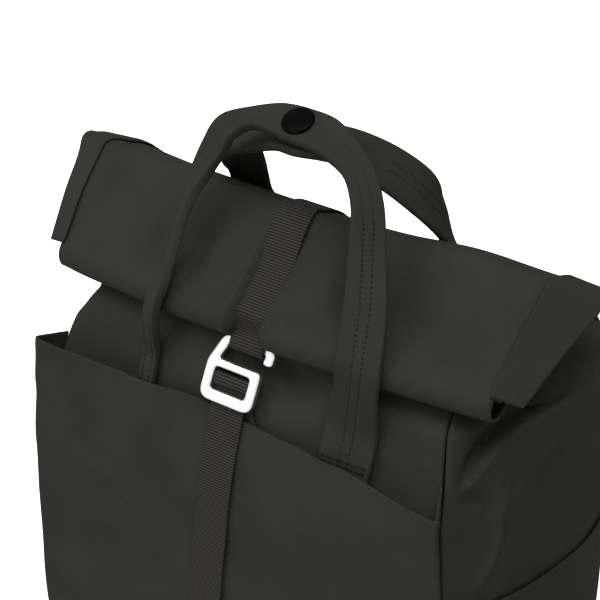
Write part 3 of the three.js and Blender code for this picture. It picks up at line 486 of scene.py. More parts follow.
leftTuck = {"depth": 8, "z": 333, "high": 26, "fromSeam": 6, "fade": (-30, 60)}
frontHollow = {"x": 28, "z": 340, "wide": 24, "high": 14, "depth": 11}  # beside the hook, under the roll
wallWaves = {"size": 70, "height": 0.5}
front, back, gusset = columnsOf(frontPanel, "z"), columnsOf(backPanel, "z"), columnsOf(sides, "z")


def frontHalf(side, z):
    return np.where(np.asarray(side) < 0, front["left"](z), front["right"](z))


# Points of a wall that bows by some millimetres in its middle
def onWall(share, half, y, bow, z):
    return np.stack(np.broadcast_arrays(share * half, y + bow * (1 - share ** 2), z), -1)


def onFront(share, z):
    share, z = np.asarray(share, float), np.asarray(z, float)
    return onWall(share, frontHalf(share, z), front["front"](z), -front["bow"](z), z)


def onBack(share, z):
    share, z = np.asarray(share, float), np.asarray(z, float)
    return onWall(share, back["half"](z), back["back"](z), back["swell"](z), z)


def backY(x, z):
    return float(onBack(x / back["half"](z), z)[1])


def onGusset(side, share, z):
    share, z = np.broadcast_arrays(np.asarray(share, float), np.asarray(z, float))
    fold = 1 - np.abs(2 * share - 1) ** gusset["round"](z)
    dip = bell(share - valley["at"], valley["spread"]) * np.sin(math.pi * share)
    half = mix(frontHalf(side, z), back["half"](z), share)
    x = half + gusset["fold"](z) * fold - gusset["valley"](z) * dip
    return np.stack([side * x, mix(front["front"](z), back["back"](z), share), z], -1)


# Cloth pulls in where it is sewn at the two side edges of a panel, each along the direction given for it
def pullSeams(grid, first, last, depth=4, reach=1.6):
    across = lengthsOf(grid, 1)
    near, far = np.exp(-across / reach), np.exp(-(across[:, -1:] - across) / reach)
    return grid - depth * (near[..., None] * first[:, None] + far[..., None] * last[:, None])


def trimSides(grid, gap):
    grid[:, 0] += unit(grid[:, 1] - grid[:, 0]) * gap
    grid[:, -1] += unit(grid[:, -2] - grid[:, -1]) * gap
    return grid


# Relief of a side: the cloth sinks towards a wedge and comes back in a lip; it is tucked in under the roll
def sideFolds(y, z, side):
    fromFront = y - front["front"](z)
    if side < 0:
        near = ease(fromFront / leftTuck["fromSeam"]) * (1 - easeFrom(y, *leftTuck["fade"]))
        return -leftTuck["depth"] * near * bell(z - leftTuck["z"], leftTuck["high"])
    away, along = lineAt(y, z, sideFold["wedge"])
    fade = 1 - easeFrom(along, *sideFold["fade"])
    deep = sideFold["deep"] * ease(along / sideFold["deepOver"]) * fade
    lip = sideFold["lip"] * ease(along / sideFold["lipOver"]) * fade
    sink = -deep * bell(away, mix(sideFold["narrow"], sideFold["wide"], along))
    comeBack = lip * bell(away, sideFold["lipWide"]) - (deep + lip) * bell(away, sideFold["step"])
    tuck = sideFold["tuck"] * easeFrom(z, *sideFold["tuckFrom"]) * (1 - easeFrom(z, *sideFold["tuckTo"]))
    relief = (np.where(away > 0, sink, comeBack) - tuck) * ease(fromFront / sideFold["fromSeam"])
    for height, width, points in sideFold["creases"]:
        relief = relief + height * crease(y, z, points, width)
    return relief


# Shares across a panel, closer at its two seams
def wallShares(count):
    seam = np.array([0, 0.0025, 0.006, 0.0105])
    return np.sort(np.concatenate([seam, np.linspace(0, 1, count)[1:-1], 1 - seam]))


lowZ, finerZ, highZ = frontPanel["z"][0], 236, frontPanel["z"][-1]  # rows lie closer above the second
wallZ = np.concatenate([np.linspace(lowZ, finerZ, 44)[:-1], np.linspace(finerZ, highZ, 110)])[:, None]
edges, sideEdges = wallShares(65), wallShares(129)
panels = {
    "front_panel": onFront(-1 + 2 * edges, wallZ),
    "gusset_right": onGusset(1, sideEdges, wallZ),
    "back_panel": onBack(1 - 2 * edges, wallZ),
    "gusset_left": onGusset(-1, 1 - sideEdges, wallZ),
}
panelNormals = [normalsOf(grid) for grid in panels.values()]
for seed, (name, grid) in enumerate(panels.items()):
    before, here, after = (panelNormals[(seed + k) % 4] for k in (-1, 0, 1))
    firstSeam, lastSeam = unit(before[:, -1] + here[:, 0]), unit(here[:, -1] + after[:, 0])
    flat = grid[..., 0] if "panel" in name else grid[..., 1]
    waves = (ripple(flat, grid[..., 2], wallWaves["size"], seed) - 1) * wallWaves["height"]
    if name == "front_panel":
        near = bell(flat - frontHollow["x"], frontHollow["wide"])
        near = near * bell(grid[..., 2] - frontHollow["z"], frontHollow["high"])
        waves = waves - frontHollow["depth"] * near
    if "gusset" in name:
        waves = waves + sideFolds(flat, grid[..., 2], 1 if name == "gusset_right" else -1)
    grid = pullSeams(grid + normalsOf(grid) * waves[..., None], firstSeam, lastSeam)
    addCloth(name, trimSides(grid, cloth["seamGap"]), cloth["wall"], clothMat, name)

# Base with a rounded lower edge
baseEdge = [(0, 1.6), (0.4, 0.5), (1.2, 0), (2.5, 0)]  # height, inset at the half width below
baseHalf = 150
footRing = np.concatenate([grid[0, :-1] for grid in panels.values()])
baseRings = []
for z, inset in baseEdge:
    ring = footRing * (1 - inset / baseHalf)
    ring[:, 2] = z
    baseRings.append(ring)
basePoints = np.concatenate(baseRings)
basePiece = makePiece("base_panel", basePoints, tubeFaces(len(baseEdge), len(footRing)), basePoints[:, :2],
                      clothMat, "base_panel")
print("body made")

# Front pocket: gap to the body at the corners, the quarters and the middle
pocket = {
    "z": [16, 60, 120, 188, 229, 269, 313],
    "leftOut": [2.5, 6, 6, 5, 4.5, 7, 10],
    "leftGap": [0.8, 4.5, 7, 5.2, 4, 8, 20],
    "rightOut": [1.5, 1.5, 1.5, 1.5, 2, 4, 12],
    "rightGap": [0.8, 1.5, 2, 2, 2.5, 7, 25],
    "quarter": [0.8, 7.5, 12, 11.2, 9, 12, 16],
    "middle": [0.8, 10.5, 14.5, 10.2, 4, 3, 3],
}
pocketMouth = {
    "share": [0, 0.1, 0.2, 0.35, 0.5, 0.75, 1],
    "left": [308.2, 309.5, 310.7, 311, 311.5, 312, 312.5],
    "right": [308.2, 306.4, 305.6, 307.6, 307.6, 303.7, 299.5],
}
pocketSet = {"foot": 16, "gape": 3, "gapeFrom": (200, 100), "toQuarter": (0.13, 0.37), "toCorner": (0.5, 0.5),
             "wrapOver": 40, "turn": 5}
pocketEdge = {-1: (-1, 0.5, 305.5, 0.035), 1: (0.2, -1.2, 309.5, 0)}  # out, back, top, wrap round the side
pocketWaves = {"size": 80, "seed": 11, "height": 0.5}
sidePocket = {"foot": 16, "front": 229, "back": 180, "share": [0, 0.3, 0.65, 1], "gap": [0.3, 1.2, 1, 0.3],
              "inset": 0.03, "lift": 0.7, "fullness": 1.3}
gaps = columnsOf(pocket, "z")
mouth = columnsOf(pocketMouth, "share")


def onPocket(side, share, rise):
    label = "left" if side < 0 else "right"
    z = mix(pocketSet["foot"], mouth[label](share), rise)
    panel = onFront(side * share, z)
    inward, outward = easeFrom(share, *pocketSet["toQuarter"]), easeFrom(share, *pocketSet["toCorner"])
    gap = mix(mix(gaps["middle"](z), gaps["quarter"](z), inward), gaps[label + "Gap"](z), outward)
    skew = -pocketSet["gape"] * inward * (1 - outward) * easeFrom(z, *pocketSet["gapeFrom"])
    x = panel[..., 0] + side * gaps[label + "Out"](z) * share
    return np.stack([x, panel[..., 1] - gap - skew - cloth["pocket"], z], -1)


def pocketSeam(side, rise):
    out, behind, top, wrap = pocketEdge[side]
    z = mix(pocketSet["foot"], top, rise)
    share = wrap * easeFrom(z, sidePocket["front"], pocketSet["wrapOver"])
    return onGusset(side, share, z) + (side * out, behind, 0)


rises = spread(80, 0.002)
halves = {}
for side in (-1, 1):
    columns = [onPocket(side, np.full_like(rises, s), rises) for s in np.linspace(0, 0.955, 40)]
    last, corner, seam = columns[-1], onPocket(side, np.ones_like(rises), rises), pocketSeam(side, rises)
    turnShare = np.minimum(0.45, pocketSet["turn"] / np.linalg.norm(seam - corner, axis=1))
    turnEnd = mix(corner, seam, turnShare[:, None])
    columns += [mix(mix(last, corner, t), mix(corner, turnEnd, t), t) for t in np.linspace(0, 1, 8)[1:]]
    columns += [mix(turnEnd, seam, t) for t in (0.3, 0.65, 0.95, 1)]
    halves[side] = columns
pocketGrid = np.stack(halves[-1][:0:-1] + halves[1], 1)
waves = ripple(pocketGrid[..., 0], pocketGrid[..., 2], pocketWaves["size"], pocketWaves["seed"])
pocketGrid += normalsOf(pocketGrid) * pocketWaves["height"] * waves[..., None]
addCloth("front_pocket", pocketGrid, cloth["pocket"], clothMat, "front_pocket")

# Side pockets
sideGap = through(sidePocket["share"], sidePocket["gap"])
for name, side in (("side_pocket_right", 1), ("side_pocket_left", -1)):
    share, rise = np.meshgrid(mix(sidePocket["inset"], 1 - sidePocket["inset"], spread(40)), spread(44))
    z = mix(sidePocket["foot"], mix(sidePocket["front"], sidePocket["back"], share), rise)
    grid = onGusset(side, share, z)
    full = sideGap(rise) * np.sin(math.pi * share) ** sidePocket["fullness"]
    grid[..., 0] += side * (sidePocket["lift"] + cloth["pocket"] + full)
    grid = grid if side > 0 else grid[:, ::-1]
    addCloth(name, grid, cloth["pocket"], clothMat, name)
print("pockets made")

# Roll on the slope of the front
roll = {
    "footY": -58, "footZ": 368, "upY": 0.717, "upZ": 0.697,
    "ridgeAlong": 66.9, "ridgeFold": 8, "lowerFold": 10, "innerFold": 4.2, "innerAlong": 57, "innerEnd": 1,
    "half": 160.5, "ridgeHalf": {-1: 172.5, 1: 164.5}, "widerTo": 50, "widerFrom": (140, 20),
    "seam": 159, "bowBack": 17.9, "bowDown": 6.3, "tilt": 1.5,
    "endBack": {-1: 0.1, 1: 0.85}, "endDown": {-1: 0.14, 1: 0.62},
    "drop": 4, "dropBelow": 45, "swell": 2.5, "softBelow": (62, 34), "softOut": (-9, 12), "dentFrom": (4, 26),
    "back": [(81.5, -34), (80, -16)],
}
# x, flat half, fade to, depth, how far it is held up, how much of the dent is left at the lower fold
rollDents = [(0, 9, 13, 6, 1, 1), (-68, 13, 30, 4, 0, 0), (80, 22, 41, 4, 0, 0)]
rollRise = {"x": 112, "reach": 34, "height": 4.5, "over": 60}
rollWaves = {"size": 75, "seed": 21, "height": 0.45}
rollHollows = [(15, 38, 7, 22, 4), (-15, 30, 6, 22, 1.5), (101, 30, 9, 24, 1.5), (57, 30, 9, 24, 1.5),
               (-84, 26, 8, 24, 1.5), (-52, 26, 8, 24, 1.5)]  # x, along the slope, reach of both, depth

# The middle of its cloth as a path on the slope
outY, outZ = -roll["upZ"], roll["upY"]
rollMid = cloth["roll"] / 2


def arc(along, out, radius, first, last, steps):
    angles = np.radians(np.linspace(first, last, steps + 1))
    return np.column_stack([along + radius * np.cos(angles), out + radius * np.sin(angles)])


def between(a, b, steps):
    return mix(a, b, np.linspace(0, 1, steps + 1)[1:-1, None])


ridgeArc = arc(roll["ridgeAlong"], 0, roll["ridgeFold"] - rollMid, 0, 90, 10)
lowerArc = arc(0, 0, roll["lowerFold"] - rollMid, 90, 270, 24)
innerArc = arc(roll["innerAlong"], roll["innerFold"] - roll["ridgeFold"], roll["innerFold"] - rollMid,
               -90, 90, 12)
backPart = curveThrough([(*p, 0) for p in (*roll["back"], ridgeArc[0], ridgeArc[3])],
                        np.linspace(0, 2 / 3, 13))[:-1, :2]
rollPath = np.concatenate([
    backPart, ridgeArc, between(ridgeArc[-1], lowerArc[0], 26), lowerArc,
    between(lowerArc[-1], innerArc[0], 14), innerArc,
    between(innerArc[-1], np.array([roll["innerEnd"], innerArc[-1][1]]), 6),
    [(roll["innerEnd"], innerArc[-1][1])]])
foldStart = len(backPart) + len(ridgeArc) + 25  # station at which the lower fold starts
outerLast = foldStart + 17  # last one of the outer layer
tangents = np.gradient(rollPath, axis=0)
rollNormal = unit(np.column_stack([-tangents[:, 1], tangents[:, 0]]))


# How deep the roll is dented at x, how far it is pressed at all, and how far it is held up
def pressAt(x, along):
    depth, share, hold = np.zeros_like(x), np.zeros_like(x), np.zeros_like(x)
    for middle, flat, fade, deep, holds, atFold in rollDents:
        near = 1 - ease((np.abs(x - middle) - flat) / (fade - flat))
        part = near * mix(atFold, 1, easeFrom(along, *roll["dentFrom"]))
        depth, share = np.maximum(depth, deep * part), np.maximum(share, part)
        hold = np.maximum(hold, holds * near)
    return depth, share, hold


# Points of the roll at stations, x an array with a row for each of them
def onRoll(stations, lift, x):
    path, normal = rollPath[stations], rollNormal[stations]
    softTop, softOver = roll["softBelow"]
    outer = (np.asarray(stations) <= outerLast) & (path[:, 0] < softTop)
    soft = ease((softTop - path[:, 0]) / softOver) * easeFrom(path[:, 1], *roll["softOut"])
    soft = np.where(outer, soft, 0)[:, None]
    depth, share, hold = pressAt(np.asarray(x, float), path[:, :1])
    off = (depth - roll["swell"] * (1 - share)) * soft - lift
    drop = roll["drop"] * (1 - hold) * ease((roll["dropBelow"] - path[:, :1]) / roll["dropBelow"])
    along = path[:, :1] + normal[:, :1] * off - drop
    out = path[:, 1:] + normal[:, 1:] * off
    bow = np.minimum(1, (x / roll["seam"]) ** 2)
    past = np.maximum(0, np.abs(x) - roll["seam"])
    endBack = np.where(x < 0, roll["endBack"][-1], roll["endBack"][1])
    endDown = np.where(x < 0, roll["endDown"][-1], roll["endDown"][1])
    y = roll["footY"] + roll["upY"] * along + outY * out + roll["bowBack"] * bow + endBack * past
    z = roll["footZ"] + roll["upZ"] * along + outZ * out - roll["bowDown"] * bow - endDown * past
    rise = rollRise["height"] * bell(x - rollRise["x"], rollRise["reach"]) * ease(along / rollRise["over"])
    return np.stack([x, y, z + rise + roll["tilt"] * x / roll["seam"]], -1)


allStations = np.arange(len(rollPath))[::-1]
rollX = np.broadcast_to(roll["half"] * (2 * spread(120, 0.003) - 1), (len(allStations), 123))
endWide = np.where(allStations <= outerLast, ease(rollPath[allStations, 0] / roll["widerTo"]), 0)[:, None]
endMore = np.where(rollX < 0, -roll["ridgeHalf"][-1] + roll["half"], roll["ridgeHalf"][1] - roll["half"])
rollX = rollX + endWide * endMore * easeFrom(np.abs(rollX), *roll["widerFrom"])
rollWay = wayAlong(rollPath)
slack = ripple(rollX, np.broadcast_to(rollWay[::-1, None], rollX.shape), rollWaves["size"], rollWaves["seed"])
slack = slack * rollWaves["height"]
rollAlong = np.broadcast_to(rollPath[allStations, :1], rollX.shape)
topLayer = (allStations <= foldStart)[:, None]
for x, along, wide, long, deep in rollHollows:
    slack = slack - topLayer * deep * bell(rollX - x, wide) * bell(rollAlong - along, long)
# The roll's inner faces get painted shade, near black
addCloth("roll_top", onRoll(allStations, rollMid + slack, rollX), cloth["roll"], clothMat, "roll_top",
         inner=onRoll(allStations, -rollMid + slack, rollX), insideShade=insideShadeMat)

# Flattened strips over the ends of the roll: inner edge and width against the share of the way down
strip = {
    "share": [0, 0.32, 0.4, 0.6, 1],
    "inner": {-1: [150, 157, 167, 165.5, 157.5], 1: [162.5, 162, 161.9, 161.3, 160]},
    "width": {-1: [39, 31, 21, 15.5, 11.5], 1: [24, 25.5, 25.4, 22, 14.5]},
    "lift": 0.4,
}
stripStations = np.arange(foldStart + 1)[::-1]
stripShare = np.interp(rollWay[stripStations], rollWay[[0, foldStart]], [0, 1])
for name, side in (("roll_end_right", 1), ("roll_end_left", -1)):
    inner = through(strip["share"], strip["inner"][side])(stripShare)[:, None]
    wide = through(strip["share"], strip["width"][side])(stripShare)[:, None]
    x = side * (inner + spread(14, 0.02)[::side] * wide)
    low = rollMid + cloth["seat"] + strip["lift"]
    addCloth(name, onRoll(stripStations, low + cloth["strip"], x), cloth["strip"], clothMat, name,
             inner=onRoll(stripStations, low, x))
print("roll made")

# Handles: x, y, z of the centre, the way the face looks, width, thickness
handle = {"spread": 79, "wide": 36, "thick": 5, "seat": 1.15}
foldedFoot = {"spread": 70.3, "wide": 12.5, "thick": 6}  # the front left leg is folded double
frontFeet = [284, 296, 310, 325]
footBars = {"z": 304.5, "step": 1.3, "length": 2.4, "radius": 0.45}
frontRight = [
    (82.6, -72.5, 354.2, 0.1, -0.93, 0.3, 29.5, 5),
    (84.1, -73, 373.2, 0.18, -0.93, 0.3, 29, 5),
    (81, -61.5, 404.5, 0.35, -0.85, 0.35, 26, 5.5),
    (72.8, -48, 433, 0.55, -0.72, 0.42, 22, 6),
    (67.5, -41, 459, 0.66, -0.58, 0.5, 19.5, 6.5),
    (57.5, -35, 474, 0.5, -0.54, 0.7, 18.5, 7),
    (36, -24, 479.5, 0.2, -0.5, 0.85, 22, 7),
    (15, -12.6, 478, 0.02, -0.45, 0.9, 26, 7),
]
frontGrip = (0, -11.2, 478, 0, -0.43, 0.9, 26, 7)
frontLeft = [
    (-15, -12, 478.3, -0.02, -0.45, 0.9, 23, 7),
    (-31, -18, 477, -0.1, -0.5, 0.86, 15, 7),
    (-41.5, -28, 472, -0.2, -0.65, 0.72, 20, 7),
    (-46.5, -33.5, 460.5, -0.1, -0.8, 0.5, 18, 7),
    (-51.5, -36.5, 449.5, -0.3, -0.82, 0.4, 17, 7),
    (-57.5, -42, 433, -0.65, -0.68, 0.2, 16.5, 6.5),
    (-60.5, -48, 417, -0.79, -0.6, 0.14, 16, 6.5),
    (-61.8, -59, 395.5, -0.78, -0.6, 0.16, 14.5, 6.5),
    (-61, -71, 379.7, -0.6, -0.76, 0.24, 12.5, 6.5),
    (-64, -76, 367.7, -0.4, -0.87, 0.28, 11.5, 6.5),
    (-66.6, -77.5, 350.2, -0.2, -0.93, 0.3, 12, 6.5),
]
rearFoot = {"spread": 74, "wide": 36, "thick": 5}
rearFeet = [340, 349, 359, 370]
rearRight = [
    (74.5, 49, 391, 0.55, 0.72, 0.45, 34, 5),
    (71, 45, 405, 0.78, 0.5, 0.36, 34, 5),
    (69, 35.5, 421, 0.8, 0.22, 0.5, 34, 5),
    (62, 28.5, 435, 0.76, -0.1, 0.6, 34, 5),
    (47, 19, 449.5, 0.55, -0.25, 0.8, 33, 5.5),
    (28, 7, 462.5, 0.25, -0.34, 0.9, 29, 6.5),
    (13, -3, 468, 0.05, -0.4, 0.92, 28, 7),
]
rearGrip = (0, -6.6, 468.3, 0, -0.43, 0.9, 28, 7)
rearLeft = [
    (-14, -5, 466.5, -0.1, -0.38, 0.92, 27, 7),
    (-36.5, 0, 456.3, -0.35, -0.3, 0.88, 27, 6.5),
    (-58, 5, 446, -0.7, -0.25, 0.67, 27, 6),
    (-63.5, 15, 431, -0.75, 0.55, 0.4, 27, 5.5),
    (-67.3, 27, 412.4, -0.25, 0.93, 0.2, 28, 5),
    (-71.5, 39.5, 392.4, -0.12, 0.9, 0.35, 29, 5),
]
handleSeam = {"apart": 3, "from": 4, "step": 3.1, "length": 2, "radius": 0.5, "sink": 0.4}
seamTops = {"front": (352, 452), "rear": (448, 452)}  # height to which each leg is sewn, left and right
handleCut = {"edge": 0.14, "groove": 0.35, "grooveWide": 0.6, "hollow": 0.12,
             "lines": [0, 1.4, 2.4, 2.7, 3, 3.3, 3.6, 4.6, 7, 9.5, 12]}


# Row of a foot on the body
def footRow(surface, side, z, foot):
    share = side * foot["spread"] / (frontHalf(side, z) if surface is onFront else back["half"](z))
    across = surface(share + 0.05, z) - surface(share - 0.05, z)
    up = surface(share, z + 4) - surface(share, z - 4)
    face = unit(np.cross(across, up)) * (1 if surface is onFront else -1)
    lift = foot["thick"] / 2 + handle["seat"]
    return (*(surface(share, z) + face * lift), *face, foot["wide"], foot["thick"])


# Folded strip with two rows of stitches down the middle
def handleSection(wide, thick):
    half, edge = wide / 2, handleCut["edge"] * wide / 2
    inner = [c for c in handleCut["lines"] if c < half - edge - 0.6] + [half - edge]
    inner = np.interp(np.linspace(0, 1, 12), np.linspace(0, 1, len(inner)), inner)
    lines = np.concatenate([-inner[:0:-1], inner])
    dip = handleCut["groove"] * bell(np.abs(lines) - handleSeam["apart"], handleCut["grooveWide"])
    dip = dip + handleCut["hollow"] * (lines / half) ** 2
    return roundEdged(np.column_stack([lines, thick / 2 - dip]), half, edge, thick / 2, 9)


def addHandle(name, surface, feet, rightFoot, right, grip, left, leftFoot, sewn):
    rows = [footRow(surface, 1, z, rightFoot) for z in feet] + right + [grip] + left
    rows += [footRow(surface, -1, z, leftFoot) for z in feet[::-1]]
    stations = stationsThrough(rows, 260)
    piece = addStrip(name, stations, handleSection, clothMat)
    path = wayAlong(stations["at"])
    places = np.arange(handleSeam["from"], path[-1] - handleSeam["from"], handleSeam["step"])

    def atPlaces(key):
        return np.column_stack([np.interp(places, path, stations[key][:, i]) for i in range(3)])

    at, along, face, across = (atPlaces(key) for key in ("at", "along", "face", "across"))
    lift = np.interp(places, path, stations["thick"])[:, None] / 2 - handleSeam["sink"]
    keep = at[:, 2] < np.where(at[:, 0] < 0, sewn[0], sewn[1])
    centres = [(at + across * row * handleSeam["apart"] + face * sign * lift)[keep]
               for sign in (-1, 1) for row in (-1, 1)]
    ups = [face[keep] * sign for sign in (-1, -1, 1, 1)]
    addStitches(name + "_stitches", np.concatenate(centres), np.tile(along[keep], (4, 1)),
                np.concatenate(ups), handleSeam, piece)
    return piece, stations


barShape = {"half": 0.42, "sink": 0.1, "tilt": 0.35}


# Dense bar of stitches across a strip at one station
def addBar(name, piece, stations, k, size):
    wide, lift = stations["wide"][k] * barShape["half"], stations["thick"][k] / 2 - barShape["sink"]
    aside = np.arange(-wide, wide + 0.01, size["step"])
    tilt = barShape["tilt"] * np.where(np.arange(len(aside)) % 2, 1, -1)[:, None]
    centres = stations["at"][k] + np.outer(aside, stations["across"][k]) + stations["face"][k] * lift
    ways = stations["along"][k] + tilt * stations["across"][k]
    addStitches(name, centres, ways, np.tile(stations["face"][k], (len(aside), 1)), size, piece)


frontPiece, frontStations = addHandle("front_handle", onFront, frontFeet, handle, frontRight, frontGrip,
                                      frontLeft, foldedFoot, seamTops["front"])
footBar = int(np.argmin(np.abs(frontStations["at"][:60, 2] - footBars["z"])))
for k in (footBar - 1, footBar + 1):
    addBar("foot_bar_" + str(k), frontPiece, frontStations, k, footBars)
addHandle("rear_handle", onBack, rearFeet, rearFoot, rearRight, rearGrip, rearLeft, rearFoot,
          seamTops["rear"])

# Press stud, turned about the way the front grip looks
snap = {"radius": 10.2, "height": 3, "crown": 1.3, "stud": 6.5, "bevel": 0.3}
gripFace = unit(np.array(frontGrip[3:6]))
gripThick = frontGrip[7]


def addTurned(name, profile, centre):
    side = unit(np.cross(gripFace, (1, 0, 0)))
    other = np.cross(gripFace, side)
    turn = np.linspace(0, 2 * math.pi, 64, endpoint=False)
    points = np.concatenate([
        centre + gripFace * h + r * (np.outer(np.cos(turn), side) + np.outer(np.sin(turn), other))
        for r, h in profile])
    makePiece(name, points, tubeFaces(len(profile), 64), points[:, :2], studMat, name, "stud_black")


capRadius, studRadius, bevel = snap["radius"], snap["stud"], snap["bevel"]
frontAt, rearAt = np.array(frontGrip[:3]), np.array(rearGrip[:3])
dome = [(capRadius - 0.5, 0), (capRadius, 0.4), (capRadius, 1.0), (capRadius - 0.25, 1.5)]
dome += [(r, snap["height"] - snap["crown"] * (r / capRadius) ** 4)
         for r in np.linspace(capRadius - 0.8, 0.4, 10)]
addTurned("snap_cap", dome, frontAt + gripFace * (gripThick / 2 + cloth["seat"]))
studSpan = (frontAt - rearAt) @ gripFace - gripThick - 2 * cloth["seat"]
post = [(studRadius - bevel, 0), (studRadius, bevel), (studRadius, studSpan - bevel),
        (studRadius - bevel, studSpan)]
addTurned("snap_stud", post, frontAt - gripFace * (gripThick / 2 + cloth["seat"] + studSpan))
print("handles made")

# Hook buckle in its own plane: u right, v up, w out of its face
hook = {
    "at": (-5, -77, 329.5), "upY": 0.469, "upZ": 0.883, "thick": 5, "bevel": 1.5,
    "lean": 1.6, "leanFrom": (8, 18),
    "half": 19.8, "low": -14.5, "high": 12.2, "round": 8, "slotHalf": 12.95, "slotHigh": 7, "slotRound": 2.6,
    "barHalf": 1.5, "barTop": -0.6, "topLow": 23, "topHigh": 28.6,
    "armInner": (-11.4, -9), "armOuter": (-18.6, -15), "tipOuter": 25, "tipInner": 18.2, "tipLow": 17.5,
}
hookOut = np.array([0, -hook["upZ"], hook["upY"]])
hookUp = np.array([0, hook["upY"], hook["upZ"]])


# The arm and the bar at its top lean back
def hookBend(v):
    return -hook["lean"] * easeFrom(v, *hook["leanFrom"])


def outlineOf(moves):
    points = []
    for move in moves:
        if len(move) == 2:
            points.append(np.array(move, float))
        else:
            a, b, c = points[-1], np.array(move[:2], float), np.array(move[2:], float)
            points += [mix(mix(a, b, t), mix(b, c, t), t) for t in np.linspace(0, 1, 11)[1:]]
    return np.array(points)


def plateOutline():
    h, r = hook["half"], hook["round"]
    low, high, topLow, topHigh = (hook[k] for k in ("low", "high", "topLow", "topHigh"))
    (inLow, inHigh), (outLow, outHigh) = hook["armInner"], hook["armOuter"]
    tipIn, tipOut, tipLow = hook["tipInner"], hook["tipOuter"], hook["tipLow"]
    return outlineOf([
        (r - h, low), (h - r, low), (h, low, h, low + r), (h, high - 4), (h, high, h - 4, high),
        (inLow + 2, high), (inLow, high, inLow, high + 2), (inHigh, topLow - 2),
        (inHigh, topLow, inHigh + 2, topLow), (tipIn - 1, topLow), (tipIn, topLow, tipIn, topLow - 1),
        (tipIn, tipLow + 2), (tipIn, tipLow, tipIn + 3, tipLow), (tipOut, tipLow, tipOut, tipLow + 3),
        (tipOut, topHigh - 5), (tipOut, topHigh, tipOut - 5, topHigh), (outHigh + 7, topHigh),
        (outHigh + 2, topHigh, outHigh, topHigh - 5), (outLow, high + 1), (-h, high - 2, -h, high - 5),
        (-h, low + r), (-h, low, r - h, low)])


def slotOutline():
    s, t, r = hook["slotHalf"], hook["slotHigh"], hook["slotRound"]
    return outlineOf([(r - s, -t), (s - r, -t), (s, -t, s, r - t), (s, t - r), (s, t, s - r, t),
                      (r - s, t), (-s, t, -s, t - r), (-s, r - t), (-s, -t, r - s, -t)])


plate = bpy.data.curves.new("hook_outline", "CURVE")
plate.dimensions, plate.fill_mode = "2D", "BOTH"
plate.extrude, plate.bevel_depth = hook["thick"] / 2 - hook["bevel"], hook["bevel"]
plate.bevel_resolution, plate.offset = 4, -hook["bevel"]
for outline in (plateOutline(), slotOutline()):
    spline = plate.splines.new("POLY")
    spline.points.add(len(outline) - 2)
    spline.points.foreach_set("co", np.column_stack([outline[:-1], np.zeros(len(outline) - 1),
                                                     np.ones(len(outline) - 1)]).ravel())
    spline.use_cyclic_u = True
plateObject = addObject("hook_outline", plate)
plateMesh = shapeNow(plateObject)
platePoints = pointsOf(plateMesh)
plateFaces = [list(p.vertices) for p in plateMesh.polygons]
bpy.data.objects.remove(plateObject)
barTurn = np.radians(np.arange(0, 360, 20))
barHigh = (hook["barTop"] + hook["thick"] / 2) / 2
barRing = np.column_stack([boxy(np.cos(barTurn), 0.5) * hook["barHalf"],
                           boxy(np.sin(barTurn), 0.5) * barHigh + hook["barTop"] - barHigh])
barPoints = np.concatenate([np.column_stack([np.full(18, side * (hook["slotHalf"] + 0.8)), barRing])
                            for side in (-1, 1)])
barFaces = tubeFaces(2, 18)[:-2]
flatHook = np.concatenate([platePoints, barPoints])
flatHook[:, 2] += hookBend(flatHook[:, 1])
hookFaces = plateFaces + [[i + len(platePoints) for i in f] for f in barFaces]
hookPoints = (np.array(hook["at"]) + np.outer(flatHook[:, 0], (1, 0, 0)) + np.outer(flatHook[:, 1], hookUp)
              + np.outer(flatHook[:, 2], hookOut))
makePiece("hook_buckle", hookPoints, hookFaces, flatHook[:, :2], metalMat, "hook_buckle", "hook_metal")

# Webbing in the middle plane of the bag; points beside the hook are in its plane
strap = {"backZ": [352, 368, 384], "backLift": [3.6, 3.6, 5.5], "rollLift": 0.15}
strapSewn = {"above": [14, 16.5, 19, 21.5], "step": 1.5, "length": 1.6, "radius": 0.3}  # rows above its loop
strapLoop = [(33, 2.6), (28, 4.1), (24.2, 4.1), (21.7, 2.7), (20.9, 0), (21.7, -2.7), (24.2, -4.1),
             (27.4, -4.3), (30.5, -3.6)]
tailOverBar = [(-10, -6.6), (-4, -5.9), (1, -4.9), (3.5, -2.9), (3.4, -0.7), (1.6, 0.6), (-0.2, 0.8),
               (-2, 0.4), (-3.5, -1.1), (-4.6, -2.9), (-8.5, -3.8), (-16, -4)]
tail = {"anchorZ": [276, 290, 304], "anchorLift": 0.1, "anchorAside": 14, "asideTo": (0.04, 0.12),
        "top": 300, "end": 96, "step": 34, "lift": 1.2, "sway": -2, "swayFrom": (0.62, 0.38)}


def webSection(wide, thick):
    half, edge = wide / 2, thick / 2
    lines = np.linspace(-half + edge, half - edge, 14)
    return roundEdged(np.column_stack([lines, np.full(14, edge)]), half, edge, edge, 7)


def webStations(path, steps, sway):
    shares = np.linspace(0, 1, steps + 1)
    at = curveThrough([(0, y, z) for y, z in path], shares)
    tangent = unit(np.gradient(at, axis=0))
    at[:, 0] = sway(shares)
    face = np.column_stack([np.zeros(steps + 1), -tangent[:, 2], tangent[:, 1]])
    return {"at": at, "across": np.tile((1.0, 0, 0), (steps + 1, 1)), "face": face, "along": tangent,
            "wide": np.full(steps + 1, webbing["width"]), "thick": np.full(steps + 1, webbing["thick"])}


def onHook(v, w):
    point = np.array(hook["at"]) + hookUp * v + hookOut * (w + hookBend(v))
    return point[1], point[2]


